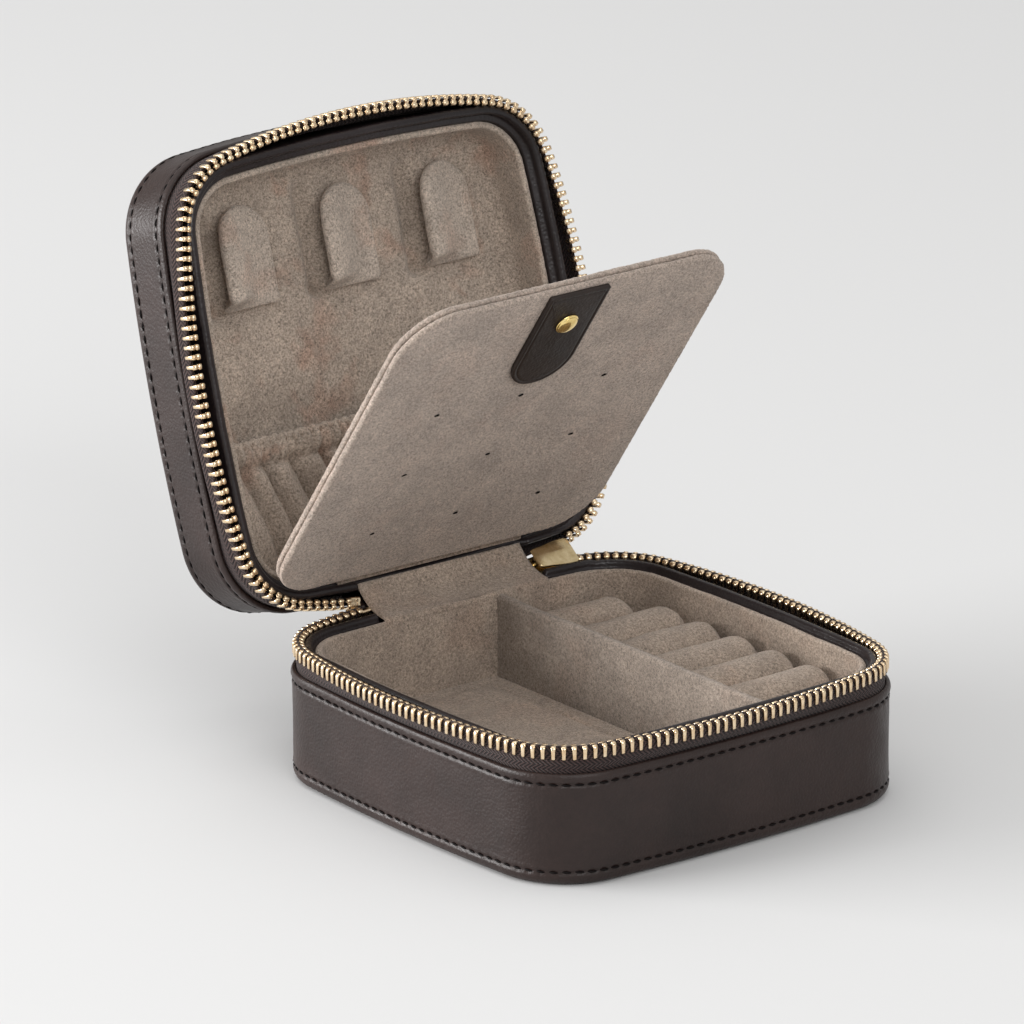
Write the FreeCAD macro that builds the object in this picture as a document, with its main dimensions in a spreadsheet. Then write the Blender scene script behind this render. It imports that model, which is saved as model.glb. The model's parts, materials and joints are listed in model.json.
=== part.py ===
import FreeCAD, Part
import math
import os

import Sketcher

# A zip-round leather jewellery case with its lid open. Millimetres, +Z up. The origin is the centre of
# the underside, +X runs along the hinge and +Y points from the opening edge to the hinge.
# Lid pieces are drawn as if the case were shut, then turned about the hinge line to the open position.

DIMENSIONS = {
    # outline of the leather wall, and of the zip line that bulges past it at mid side
    "half_width": 51.3,
    "corner_radius": 17.6,
    "bow_radius": 512.0,
    "zip_half_width": 52.5,
    "zip_corner_radius": 17.0,
    "zip_bow_radius": 174.0,
    # layers of the wall, as insets from the leather's outer face
    "leather_thickness": 0.9,
    "stiffener_inset": 0.95,
    "stiffener_thickness": 0.8,
    "tape_thickness": 0.6,
    "collar_inset": 2.6,
    "collar_thickness": 1.5,
    "lining_inset": 4.15,
    "lining_thickness": 1.55,
    "filling_inset": 5.75,
    "turn_in": 3.0,
    "gap": 0.05,
    # heights, counted from the outer skin of each half towards the plane where the halves meet
    "closing_plane": 30.0,
    "case_height": 52.6,
    "round_radius": 2.0,
    "board_thickness": 2.05,
    "base_leather_height": 24.6,
    "lid_leather_height": 15.1,
    "tape_foot": 5.4,
    "base_tape_flare": 2.8,
    "lid_tape_flare": 4.1,
    "tape_edge_gap": 0.75,
    "slider_relief": 4.6,
    "collar_gap": 0.4,
    "base_lining_height": 28.3,
    "lid_lining_height": 20.0,
    "base_floor_height": 9.6,
    "lid_floor_height": 8.1,
    "floor_thickness": 1.1,
    "rim_round": 0.7,
    # zip
    "tooth_pitch": 2.15,
    "tooth_width": 0.85,
    "tooth_depth": 2.3,
    "tooth_leg": 1.7,
    "tooth_head": 1.4,
    "stop_width": 2.2,
    "stop_head": 0.6,
    "tooth_shoulder": 0.45,
    "zip_gap_left": 25.2,
    "zip_gap_right": 37.6,
    # hinge
    "hinge_back": 52.0,
    "hinge_height": 30.0,
    "open_angle": 106.0,
    "hinge_half_width": 24.0,
    "hinge_bend": 4.6,
    "strip_left": 24.0,
    "strip_right": 20.6,
    "strip_bend": 11.5,
    "strip_reach": 9.6,
    "strip_thickness": 0.7,
    "strip_lap": 0.4,
    "strip_rise": 0.45,
    "strip_clearance": 0.5,
    "notch_depth": 2.9,
    "slider_notch_depth": 2.7,
    # compartments
    "divider_left": 9.8,
    "divider_thickness": 2.2,
    "divider_height": 28.0,
    "divider_half_length": 45.3,
    "roll_radius": 6.1,
    "roll_pitch": 12.4,
    "roll_height": 17.8,
    "roll_end": 43.6,
    "outer_roll_end": 39.9,
    "roll_round": 3.0,
    "outer_roll_round": 5.4,
    "roll_bed_height": 11.5,
    # lid fittings
    "tab_half_width": 7.8,
    "tab_spacing": 27.2,
    "tab_foot": -15.0,
    "tab_tip": -37.4,
    "tab_thickness": 2.0,
    "tab_lift": 1.3,
    "tab_foot_length": 3.0,
    "pocket_mouth": 12.8,
    "pocket_lift": 5.3,
    "pocket_thickness": 0.8,
    "elastic_radius": 0.8,
    "elastic_end_gap": 0.6,
    # folding panel
    "panel_half_width": 43.8,
    "panel_front": -45.4,
    "panel_back": 44.5,
    "panel_corner": 12.5,
    "panel_low": 28.6,
    "panel_face": 1.05,
    "panel_board": 0.8,
    "panel_seam": 0.8,
    "panel_fold": 50.9,
    "face_round": 0.6,
    "pin_hole_radius": 0.45,
    "pin_hole_depth": 0.8,
    "pin_hole_left": -22.5,
    "pin_hole_near": 28.5,
    "pin_pitch_across": 22.5,
    "pin_pitch_along": 19.5,
    "pull_half_width": 7.0,
    "pull_start": -44.6,
    "pull_end": -15.6,
    "pull_thickness": 1.1,
    "stud_place": -35.2,
    "stud_radius": 2.75,
    "stud_dome": 1.3,
    "stud_post": 0.9,
    "stud_clearance": 0.05,
    "stud_back_radius": 2.2,
    "stud_back_thickness": 0.5,
    "panel_hinge_half_width": 25.0,
    "panel_hinge_thickness": 0.5,
    "panel_hinge_bend": 0.8,
    "panel_hinge_clear": 0.45,
    "panel_hinge_reach": 1.9,
    "panel_hinge_drop": 0.3,
    "panel_hinge_lean": 0.2,
    # slider and puller
    "slider_centre": 30.3,
    "slider_half_length": 5.6,
    "slider_half_height": 3.1,
    "slider_line": 50.9,
    "slider_mouth": 2.4,
    "slider_plate": 0.8,
    "slider_post": 1.0,
    "slider_post_inset": 0.3,
    "slider_overlap": 0.1,
    "bail_wire": 0.5,
    "bail_half_length": 2.6,
    "bail_rise": 1.9,
    "bail_clearance": 0.08,
    "puller_width": 6.0,
    "puller_length": 21.0,
    "puller_thickness": 1.2,
    "puller_neck": 2.6,
    "puller_overlap": 0.5,
    "puller_round": 2.2,
    "puller_barrel": 1.2,
    "puller_barrel_length": 3.0,
}

document = FreeCAD.newDocument("jewellery_case")
sheet = document.addObject("Spreadsheet::Sheet", "sizes")
for row, (alias, number) in enumerate(DIMENSIONS.items(), start=1):
    sheet.set(f"A{row}", alias)
    sheet.set(f"B{row}", str(number))
    sheet.setAlias(f"B{row}", alias)
document.recompute()

PINS_IN_A_ROW = 3
NEAR = 1e-4

nodes = []
counter = {}

SHUT = "placement(vector(0; 0; 0); rotation(vector(1; 0; 0); 0))"
LID_OPEN = (
    "placement(vector(0; 0; 0); rotation(vector(1; 0; 0); -sizes.open_angle);"
    " vector(0; sizes.hinge_back; sizes.hinge_height))"
)
PANEL_AXIS_HEIGHT = "sizes.panel_low + sizes.panel_face + sizes.gap + sizes.panel_board / 2"
PANEL_OPEN = (
    LID_OPEN + " * placement(vector(0; 0; 0); rotation(vector(1; 0; 0); sizes.panel_fold);"
    f" vector(0; sizes.panel_back; {PANEL_AXIS_HEIGHT}))"
)
SLIDER_OPEN = (
    "placement(vector(0; 0; 0); rotation(vector(1; 0; 0); -sizes.open_angle / 2);"
    " vector(0; sizes.hinge_back; sizes.hinge_height))"
)


def size(alias):
    """A driving dimension as a plain number."""
    return float(sheet.get(alias))


def expand(text):
    """Write an expression with the sheet's name in front of every alias."""
    words = text.replace("(", " ( ").replace(")", " ) ").split()
    return " ".join(f"sizes.{word}" if word in DIMENSIONS else word for word in words)


def value(text):
    """Work out an expression of aliases as a number."""
    probe = document.addObject("App::FeaturePython", "probe")
    probe.addProperty("App::PropertyFloat", "Result")
    probe.setExpression("Result", expand(text))
    probe.recompute()
    result = probe.Result
    document.removeObject(probe.Name)
    return result


def unique(name):
    """A fresh internal name for a helper object."""
    counter[name] = counter.get(name, 0) + 1
    return f"{name}_{counter[name]}"


def finish(feature, label, pose=SHUT):
    """Name a sub-part, put it in its pose and keep it for writing."""
    feature.Label = label
    feature.setExpression("Placement", pose)
    nodes.append(feature)
    return feature


# ---------------------------------------------------------------- outlines


def outline_geometry(half, corner, bow):
    """Eight tangent arcs: four shallow side arcs and four corner arcs, counter-clockwise."""
    shift = half - bow
    reach = bow - corner
    centre = (shift + math.sqrt(2 * reach**2 - shift**2)) / 2
    swing = math.atan2(centre, centre - shift)
    arcs = []
    up = FreeCAD.Vector(0, 0, 1)
    for quarter in range(4):
        turn = quarter * math.pi / 2
        side = FreeCAD.Vector(shift * math.cos(turn), shift * math.sin(turn), 0)
        arcs.append(Part.ArcOfCircle(Part.Circle(side, up, bow), turn - swing, turn + swing))
        lean = turn + math.pi / 4
        span = math.pi / 4 - swing
        spot = FreeCAD.Vector(math.cos(lean), math.sin(lean), 0) * (centre * math.sqrt(2))
        arcs.append(Part.ArcOfCircle(Part.Circle(spot, up, corner), lean - span, lean + span))
    return arcs


def outline_sketch(name, half, corner, bow):
    """The bowed square outline as a sketch whose three sizes come from the sheet."""
    sketch = document.addObject("Sketcher::SketchObject", name)
    arcs = outline_geometry(size(half), size(corner), size(bow))
    sketch.addGeometry(arcs, False)
    for index in range(8):
        follower = (index + 1) % 8
        sketch.addConstraint(Sketcher.Constraint("Tangent", index, 2, follower, 1))
    for index in (0, 4):
        sketch.addConstraint(Sketcher.Constraint("PointOnObject", index, 3, -1))
    for index in (2, 6):
        sketch.addConstraint(Sketcher.Constraint("PointOnObject", index, 3, -2))
    for index in range(8):
        alias = corner if index % 2 else bow
        spot = sketch.addConstraint(Sketcher.Constraint("Radius", index, size(alias)))
        sketch.setExpression(f"Constraints[{spot}]", expand(alias))
    reach = size(half) - size(bow)
    quarters = ((0, "DistanceX", 1), (2, "DistanceY", 1), (4, "DistanceX", -1), (6, "DistanceY", -1))
    for index, kind, sign in quarters:
        spot = sketch.addConstraint(Sketcher.Constraint(kind, index, 3, sign * reach))
        sketch.setExpression(f"Constraints[{spot}]", expand(f"{sign} * ( {half} - {bow} )"))
    return sketch


leather_outline = outline_sketch("leather_outline", "half_width", "corner_radius", "bow_radius")
zip_outline = outline_sketch("zip_outline", "zip_half_width", "zip_corner_radius", "zip_bow_radius")
document.recompute()


def offset_outline(source, inset, height="0"):
    """The outline moved in by an inset, at a height."""
    ring = document.addObject("Part::Offset2D", unique("outline"))
    ring.Source = source
    ring.setExpression("Value", expand(f"0 - ( {inset} )"))
    ring.setExpression("Placement.Base.z", expand(height))
    return ring


def plate(source, inset, low, high):
    """A flat plate of the outline's shape between two heights."""
    block = document.addObject("Part::Extrusion", unique("plate"))
    block.Base = offset_outline(source, inset, low)
    block.DirMode = "Custom"
    block.Dir = FreeCAD.Vector(0, 0, 1)
    block.Solid = True
    block.setExpression("LengthFwd", expand(f"{high} - ( {low} )"))
    return block


def cut(base, tool):
    """One solid less another."""
    result = document.addObject("Part::Cut", unique("cut"))
    result.Base = base
    result.Tool = tool
    return result


def fuse(*shapes):
    """Several solids joined."""
    result = document.addObject("Part::MultiFuse", unique("fuse"))
    result.Shapes = list(shapes)
    return result


def ring(source, inset, thickness, low, high):
    """A wall that follows the outline between two heights."""
    outer = plate(source, inset, low, high)
    inner = plate(source, f"{inset} + {thickness}", f"{low} - 1", f"{high} + 1")
    return cut(outer, inner)


def box(left, right, front, back, low, high):
    """A box between six planes."""
    block = document.addObject("Part::Box", unique("box"))
    block.setExpression("Length", expand(f"{right} - ( {left} )"))
    block.setExpression("Width", expand(f"{back} - ( {front} )"))
    block.setExpression("Height", expand(f"{high} - ( {low} )"))
    block.setExpression("Placement.Base.x", expand(left))
    block.setExpression("Placement.Base.y", expand(front))
    block.setExpression("Placement.Base.z", expand(low))
    return block


def round_level_edges(base, level, alias):
    """Round every edge that lies at one height."""
    document.recompute()
    height = value(level)
    chosen = []
    for index, edge in enumerate(base.Shape.Edges, start=1):
        heights = [vertex.Point.z for vertex in edge.Vertexes]
        if all(abs(z - height) < NEAR for z in heights):
            chosen.append((index, size(alias), size(alias)))
    result = document.addObject("Part::Fillet", unique("round"))
    result.Base = base
    result.Edges = chosen
    return result


# ---------------------------------------------------------------- the two halves of the case


class Half:
    """One half of the case, measured from its own outer skin towards the closing plane."""

    def __init__(self, name, is_lid):
        self.name = name
        self.is_lid = is_lid
        self.pose = LID_OPEN if is_lid else SHUT

    def level(self, depth):
        """The height of a plane that lies a distance in from this half's skin."""
        return f"( case_height - ( {depth} ) )" if self.is_lid else f"( {depth} )"

    def span(self, near, far):
        """Low and high planes of a layer between two depths."""
        pair = (self.level(near), self.level(far))
        return pair[::-1] if self.is_lid else pair

    def keep(self, feature, what):
        """Finish a sub-part of this half."""
        return finish(feature, f"{self.name}_{what}", self.pose)

    def ring(self, source, inset, thickness, near, far):
        low, high = self.span(near, far)
        return ring(source, inset, thickness, low, high)

    def plate(self, source, inset, near, far):
        low, high = self.span(near, far)
        return plate(source, inset, low, high)

    def box(self, left, right, front, back, near, far):
        low, high = self.span(near, far)
        return box(left, right, front, back, low, high)


def side_leather(half, height):
    """The outer wall, turned in under the flat face with a soft round."""
    skin = half.plate(leather_outline, "0", "0", height)
    skin = round_level_edges(skin, half.level("0"), "round_radius")
    hollow = half.plate(leather_outline, "leather_thickness", "leather_thickness", f"{height} + 1")
    window = half.plate(leather_outline, "turn_in", "-1", "leather_thickness + 1")
    half.keep(cut(cut(skin, hollow), window), "side_leather")


def flat_leather(half, what):
    """The panel of leather inside the turned-in edge."""
    half.keep(half.plate(leather_outline, "turn_in + gap", "0", "leather_thickness"), what)


def flat_board(half, what):
    """The board behind the flat leather."""
    near = "leather_thickness + gap"
    half.keep(half.plate(leather_outline, "stiffener_inset", near, f"{near} + board_thickness"), what)


def wall_board(half, height):
    """The board that keeps the side wall straight, below the foot of the zip tape."""
    near = "leather_thickness + board_thickness + 2 * gap"
    far = f"{height} - tape_foot - gap"
    wall = half.ring(leather_outline, "stiffener_inset", "stiffener_thickness", near, far)
    half.keep(wall, "wall_board")


def hinge_gap(half, near):
    """The stretch of the back where the zip stops for the hinge."""
    return half.box("0 - zip_gap_left + gap", "hinge_half_width + gap", "30", "60", near, "40")


def zip_tape(half, height, meeting):
    """Cloth tape: a foot behind the leather, a flared part and an upright edge for the teeth."""
    foot = half.ring(leather_outline, "stiffener_inset", "tape_thickness", f"{height} - tape_foot", height)
    top = f"{height} + {half.name}_tape_flare"
    rim = f"{meeting} - tape_edge_gap"
    edge = half.ring(zip_outline, "0 - tape_thickness / 2", "tape_thickness", top, rim)
    shells = []
    for low_inset, high_inset in (
        ("stiffener_inset", "0 - tape_thickness / 2"),
        ("stiffener_inset + tape_thickness", "tape_thickness / 2"),
    ):
        shell = document.addObject("Part::Loft", unique("flare"))
        shell.Sections = [
            offset_outline(leather_outline, low_inset, half.level(height)),
            offset_outline(zip_outline, high_inset, half.level(top)),
        ]
        shell.Solid = True
        shell.Ruled = True
        shells.append(shell)
    flare = cut(shells[0], shells[1])
    tape = fuse(foot, flare, edge)
    tape = cut(tape, hinge_gap(half, f"{height} - tape_foot - 1"))
    relief = half.box("0", "zip_gap_right", "30", "60", f"{meeting} - slider_relief", "40")
    half.keep(cut(tape, relief), "zip_tape")


def collar(half, meeting):
    """The leather-covered collar that stands up inside the zip, let down behind the hinge strip."""
    near = "leather_thickness + board_thickness + 2 * gap"
    top = f"{meeting} - collar_gap"
    wall = half.ring(leather_outline, "collar_inset", "collar_thickness", near, top)
    wall = round_level_edges(wall, half.level(top), "rim_round")
    left, right = "0 - strip_left - strip_clearance", "strip_right + strip_clearance"
    strip = half.box(left, right, "40", "60", f"{meeting} - notch_depth", "40")
    slider = half.box("strip_right", "zip_gap_right", "40", "60", f"{meeting} - slider_notch_depth", "40")
    half.keep(cut(cut(wall, strip), slider), "collar")


def lining_wall(half, height):
    """The suede-covered card wall inside the collar."""
    near = "leather_thickness + board_thickness + 2 * gap"
    wall = half.ring(leather_outline, "lining_inset", "lining_thickness", near, height)
    half.keep(round_level_edges(wall, half.level(height), "rim_round"), "lining_wall")


# ---------------------------------------------------------------- zip teeth


class Walk:
    """Points along the zip line, by distance counter-clockwise from the front end of its right side."""

    def __init__(self, arcs):
        self.wire = Part.Wire([arc.toShape() for arc in arcs])
        self.lengths = [edge.Length for edge in self.wire.Edges]
        self.total = sum(self.lengths)

    def at(self, distance):
        """The point and the outward direction at a distance round the line."""
        rest = distance % self.total
        for edge, length in zip(self.wire.Edges, self.lengths):
            if rest <= length:
                break
            rest -= length
        parameter = edge.getParameterByLength(rest)
        along = edge.tangentAt(parameter)
        return edge.valueAt(parameter), FreeCAD.Vector(along.y, -along.x, 0)

    def find_back(self, x):
        """The distance at which the line crosses a given x on its back stretch."""
        side, corner = self.lengths[:2]
        low = side + corner / 2
        high = low + side + corner
        for _ in range(60):
            middle = (low + high) / 2
            if self.at(middle)[0].x > x:
                low = middle
            else:
                high = middle
        return low


zip_walk = Walk(outline_geometry(size("zip_half_width"), size("zip_corner_radius"), size("zip_bow_radius")))


def clamp(width, leg, head):
    """One tooth or stop: two legs either side of the tape's edge, and a head with rounded shoulders."""
    half_depth = size("tooth_depth") / 2
    slot = size("tape_thickness") / 2 + size("gap")
    shoulder = half_depth - size("tooth_shoulder")
    points = [
        FreeCAD.Vector(0, -half_depth, -leg),
        FreeCAD.Vector(0, -half_depth, head - size("tooth_shoulder")),
        FreeCAD.Vector(0, -shoulder, head),
        FreeCAD.Vector(0, shoulder, head),
        FreeCAD.Vector(0, half_depth, head - size("tooth_shoulder")),
        FreeCAD.Vector(0, half_depth, -leg),
        FreeCAD.Vector(0, slot, -leg),
        FreeCAD.Vector(0, slot, size("gap")),
        FreeCAD.Vector(0, -slot, size("gap")),
        FreeCAD.Vector(0, -slot, -leg),
    ]
    face = Part.Face(Part.makePolygon(points + points[:1]))
    tooth = face.extrude(FreeCAD.Vector(width, 0, 0))
    tooth.translate(FreeCAD.Vector(-width / 2, 0, 0))
    return tooth


def stand(shape, half, distance):
    """Stand a clamp on the edge of one half's tape."""
    spot, outward = zip_walk.at(distance)
    placed = shape.copy()
    edge = size("closing_plane")
    if half.is_lid:
        placed.rotate(FreeCAD.Vector(0, 0, 0), FreeCAD.Vector(0, 1, 0), 180)
        edge += size("tape_edge_gap")
    else:
        edge -= size("tape_edge_gap")
    heading = math.degrees(math.atan2(outward.y, outward.x)) - 90
    placed.rotate(FreeCAD.Vector(0, 0, 0), FreeCAD.Vector(0, 0, 1), heading)
    placed.translate(FreeCAD.Vector(spot.x, spot.y, edge))
    return placed


def zip_teeth(half):
    """A row of teeth and the stops at its ends; the lid's row sits half a pitch on."""
    pitch = size("tooth_pitch")
    first = zip_walk.find_back(-size("zip_gap_left") - size("stop_width"))
    last = zip_walk.find_back(size("zip_gap_right") + size("stop_width")) + zip_walk.total
    count = int((last - first) / pitch)
    shift = pitch / 2 if half.is_lid else 0.0
    tooth = clamp(size("tooth_width"), size("tooth_leg"), size("tooth_head"))
    teeth = [stand(tooth, half, first + shift + pitch * index) for index in range(count)]
    row = document.addObject("Part::Feature", f"{half.name}_zip_teeth")
    row.Shape = Part.makeCompound(teeth)
    half.keep(row, "zip_teeth")
    block = clamp(size("stop_width"), size("tooth_leg"), size("stop_head"))
    ends = (first - pitch, first + pitch * (count + 0.5))
    stops = document.addObject("Part::Feature", f"{half.name}_zip_stops")
    stops.Shape = Part.makeCompound([stand(block, half, end) for end in ends])
    half.keep(stops, "zip_stops")


base = Half("base", False)
lid = Half("lid", True)
MEETING = {"base": "closing_plane", "lid": "( case_height - closing_plane )"}
for half, height, lining in (
    (base, "base_leather_height", "base_lining_height"),
    (lid, "lid_leather_height", "lid_lining_height"),
):
    meeting = MEETING[half.name]
    side_leather(half, height)
    flat_leather(half, "top_leather" if half.is_lid else "bottom_leather")
    flat_board(half, "top_board" if half.is_lid else "bottom_board")
    wall_board(half, height)
    zip_tape(half, height, meeting)
    collar(half, meeting)
    lining_wall(half, lining)
    zip_teeth(half)

# ---------------------------------------------------------------- sketch helpers for the loose pieces


def new_body(label):
    return document.addObject("PartDesign::Body", label)


def plane_of(body, role):
    """One of the body's own origin planes."""
    return next(item for item in body.Origin.OriginFeatures if item.Role == role)


def new_sketch(body, role="XY_Plane", height="0"):
    """A sketch on an origin plane, moved along the plane's normal."""
    sketch = body.newObject("Sketcher::SketchObject", unique("sketch"))
    sketch.AttachmentSupport = (plane_of(body, role), [""])
    sketch.MapMode = "FlatFace"
    sketch.setExpression("AttachmentOffset.Base.z", expand(height))
    return sketch


def pin_point(sketch, geometry, point, horizontal, vertical):
    """Fix one point of a sketch to two expressions."""
    for kind, text in (("DistanceX", horizontal), ("DistanceY", vertical)):
        spot = sketch.addConstraint(Sketcher.Constraint(kind, geometry, point, value(text)))
        sketch.setExpression(f"Constraints[{spot}]", expand(text))


def add_rectangle(sketch, left, right, low, high):
    """A rectangle between four expressions."""
    corners = [
        FreeCAD.Vector(value(x), value(y), 0)
        for x, y in ((left, low), (right, low), (right, high), (left, high))
    ]
    first = sketch.GeometryCount
    for index in range(4):
        sketch.addGeometry(Part.LineSegment(corners[index], corners[(index + 1) % 4]), False)
    for index in range(4):
        follower = first + (index + 1) % 4
        sketch.addConstraint(Sketcher.Constraint("Coincident", first + index, 2, follower, 1))
        kind = "Vertical" if index % 2 else "Horizontal"
        sketch.addConstraint(Sketcher.Constraint(kind, first + index))
    pin_point(sketch, first, 1, left, low)
    pin_point(sketch, first + 2, 1, right, high)


def add_circle(sketch, x, y, radius):
    """A circle whose centre and radius are expressions."""
    spot = FreeCAD.Vector(value(x), value(y), 0)
    index = sketch.addGeometry(Part.Circle(spot, FreeCAD.Vector(0, 0, 1), value(radius)), False)
    pin_point(sketch, index, 3, x, y)
    rule = sketch.addConstraint(Sketcher.Constraint("Radius", index, value(radius)))
    sketch.setExpression(f"Constraints[{rule}]", expand(radius))


def pad(body, sketch, length, name="Pad"):
    """Extrude a sketch along its plane's normal."""
    feature = body.newObject("PartDesign::Pad", unique(name))
    feature.Profile = sketch
    feature.setExpression("Length", expand(length))
    document.recompute()
    return feature


def pocket(body, sketch, length):
    """Cut a sketch away along its plane's normal, and check that it really cut."""
    before = body.Shape.Volume
    feature = body.newObject("PartDesign::Pocket", unique("Pocket"))
    feature.Profile = sketch
    feature.Reversed = True
    feature.setExpression("Length", expand(length))
    document.recompute()
    if body.Shape.Volume >= before:
        raise ValueError(f"{body.Label}: a pocket cuts nothing")
    return feature


def edges_where(shape, test):
    """Names of the edges whose vertices all pass a test."""
    return [
        f"Edge{index}"
        for index, edge in enumerate(shape.Edges, start=1)
        if all(test(vertex.Point) for vertex in edge.Vertexes)
    ]


def upright(shape):
    """Names of the edges that run along Z."""
    names = []
    for index, edge in enumerate(shape.Edges, start=1):
        ends = [vertex.Point for vertex in edge.Vertexes]
        if len(ends) == 2 and (ends[0] - ends[1]).cross(FreeCAD.Vector(0, 0, 1)).Length < 1e-6:
            names.append(f"Edge{index}")
    return names


def upright_at(shape, y):
    """The upright edges that stand at one Y."""
    return [name for name in upright(shape) if abs(shape.getElement(name).Vertexes[0].Point.y - y) < NEAR]


def fillet(body, feature, names, radius):
    """Round named edges of the last feature."""
    rounding = body.newObject("PartDesign::Fillet", unique("Fillet"))
    rounding.Base = (feature, names)
    rounding.setExpression("Radius", expand(radius))
    document.recompute()
    return rounding


def near_height(height):
    number = value(height)
    return lambda point: abs(point.z - number) < NEAR


# ---------------------------------------------------------------- base compartments

SKIN_DEPTH = "leather_thickness + board_thickness + 2 * gap"
DIVIDER_RIGHT = "divider_left + divider_thickness"


def compartment_filling(label, low, high, left, right):
    """A flat layer inside the lining wall on one side of the divider."""
    layer = plate(leather_outline, "filling_inset", low, high)
    window = box(left, right, "-60", "60", f"{low} - 1", f"{high} + 1")
    common = document.addObject("Part::Common", unique("common"))
    common.Base = layer
    common.Tool = window
    return finish(common, label)


FLOOR_LOW = "base_floor_height - floor_thickness"
compartment_filling("floor_foam", SKIN_DEPTH, f"{FLOOR_LOW} - gap", "-60", "divider_left - gap")
compartment_filling("floor_pad", FLOOR_LOW, "base_floor_height", "-60", "divider_left - gap")
compartment_filling("ring_bed", SKIN_DEPTH, "roll_bed_height", f"{DIVIDER_RIGHT} + gap", "60")


def divider():
    """The upright suede wall between the two compartments."""
    body = new_body("divider")
    sketch = new_sketch(body, height=SKIN_DEPTH)
    add_rectangle(sketch, "divider_left", DIVIDER_RIGHT, "0 - divider_half_length", "divider_half_length")
    wall = pad(body, sketch, f"divider_height - ( {SKIN_DEPTH} )")
    at_top = near_height("divider_height")
    long_edges = [
        name
        for name in edges_where(wall.Shape, at_top)
        if wall.Shape.getElement(name).Length > size("divider_half_length")
    ]
    fillet(body, wall, long_edges, "divider_thickness / 2 - gap")
    finish(body, "divider")


divider()


def ring_roll(number, offset):
    """One foam roll covered in suede, with its free end rounded."""
    outer = abs(offset) > 2
    end = "outer_roll_end" if outer else "roll_end"
    bend = "outer_roll_round" if outer else "roll_round"
    body = new_body(f"ring_roll_{number}")
    start = f"{DIVIDER_RIGHT} + 2 * gap"
    sketch = new_sketch(body, "YZ_Plane", start)
    add_circle(sketch, f"{offset} * roll_pitch", "roll_height", "roll_radius")
    roll = pad(body, sketch, f"{end} - ( {start} )")
    far = value(end)
    fillet(body, roll, edges_where(roll.Shape, lambda point: abs(point.x - far) < NEAR), bend)
    finish(body, f"ring_roll_{number}")


for number, offset in enumerate(range(3, -4, -1), start=1):
    ring_roll(number, offset)

# ---------------------------------------------------------------- lid fittings

LID_FLOOR = "( case_height - lid_floor_height )"
low, high = lid.span(SKIN_DEPTH, "lid_floor_height - floor_thickness - gap")
finish(plate(leather_outline, "filling_inset", low, high), "lid_foam", LID_OPEN)
low, high = lid.span("lid_floor_height - floor_thickness", "lid_floor_height")
finish(plate(leather_outline, "filling_inset", low, high), "lid_floor", LID_OPEN)


def necklace_tab(number, offset):
    """A padded hook tab: a foot on the lid's lining and a tongue with a round tip held off it."""
    body = new_body(f"necklace_tab_{number}")
    tongue_low = f"{LID_FLOOR} - tab_lift - tab_thickness"
    left = f"{offset} * tab_spacing - tab_half_width"
    right = f"{offset} * tab_spacing + tab_half_width"
    sketch = new_sketch(body, height=tongue_low)
    add_rectangle(sketch, left, right, "tab_tip", "tab_foot")
    tongue = pad(body, sketch, "tab_thickness")
    tip = value("tab_tip")
    corners = upright_at(tongue.Shape, tip)
    tongue = fillet(body, tongue, corners, "tab_half_width - gap")
    tongue = fillet(body, tongue, edges_where(tongue.Shape, near_height(tongue_low)), "rim_round")
    sketch = new_sketch(body, height=f"{LID_FLOOR} - tab_lift - gap")
    add_rectangle(sketch, f"{left} + gap", f"{right} - gap", "tab_foot - tab_foot_length", "tab_foot - gap")
    pad(body, sketch, "tab_lift")
    finish(body, f"necklace_tab_{number}", LID_OPEN)


for number, offset in enumerate((-1, 0, 1), start=1):
    necklace_tab(number, offset)

POCKET_HIGH = f"{LID_FLOOR} - pocket_lift"
pocket_sheet = plate(leather_outline, "filling_inset", f"{POCKET_HIGH} - pocket_thickness", POCKET_HIGH)
mouth = box("-60", "60", "-60", "pocket_mouth", "20", "50")
finish(cut(pocket_sheet, mouth), "lid_pocket", LID_OPEN)


def pocket_elastic():
    """The round elastic along the pocket's mouth, beside the edge of its sheet."""
    body = new_body("pocket_elastic")
    sketch = new_sketch(body, "YZ_Plane", "0 - half_width + filling_inset + elastic_end_gap")
    middle_height = f"{POCKET_HIGH} - pocket_thickness / 2"
    add_circle(sketch, "pocket_mouth - elastic_radius - gap", middle_height, "elastic_radius")
    pad(body, sketch, "2 * ( half_width - filling_inset - elastic_end_gap )")
    finish(body, "pocket_elastic", LID_OPEN)


pocket_elastic()

# ---------------------------------------------------------------- hinge leather and strips


def band_solid(points, thickness, width):
    """A flat strap of one thickness: its middle line is straight runs joined by tangent arcs."""
    edges = []
    start = points[0][0]
    for index in range(1, len(points)):
        corner, bend = points[index]
        if bend == 0:
            edges.append(Part.LineSegment(start, corner).toShape())
            continue
        after = points[index + 1][0]
        inward = (corner - start).normalize()
        outward = (after - corner).normalize()
        reach = bend * math.tan(inward.getAngle(outward) / 2)
        entry = corner - inward * reach
        leave = corner + outward * reach
        bisector = (outward - inward).normalize()
        centre_gap = math.hypot(bend, reach)
        middle = corner + bisector * (centre_gap - bend)
        if (entry - start).Length > 1e-6:
            edges.append(Part.LineSegment(start, entry).toShape())
        edges.append(Part.Arc(entry, middle, leave).toShape())
        start = leave
    path = Part.Wire(edges)
    line = path.makeOffset2D(thickness / 2, 0, False, True, True)
    other = path.makeOffset2D(-thickness / 2, 0, False, True, True)
    ends = [
        Part.LineSegment(line.OrderedVertexes[at].Point, other.OrderedVertexes[at].Point).toShape()
        for at in (0, -1)
    ]
    face = Part.Face(Part.Wire(Part.__sortEdges__(line.Edges + other.Edges + ends)))
    return face.extrude(FreeCAD.Vector(width, 0, 0))


def side_point(y, z, x=0.0):
    return FreeCAD.Vector(x, y, z)


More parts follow.
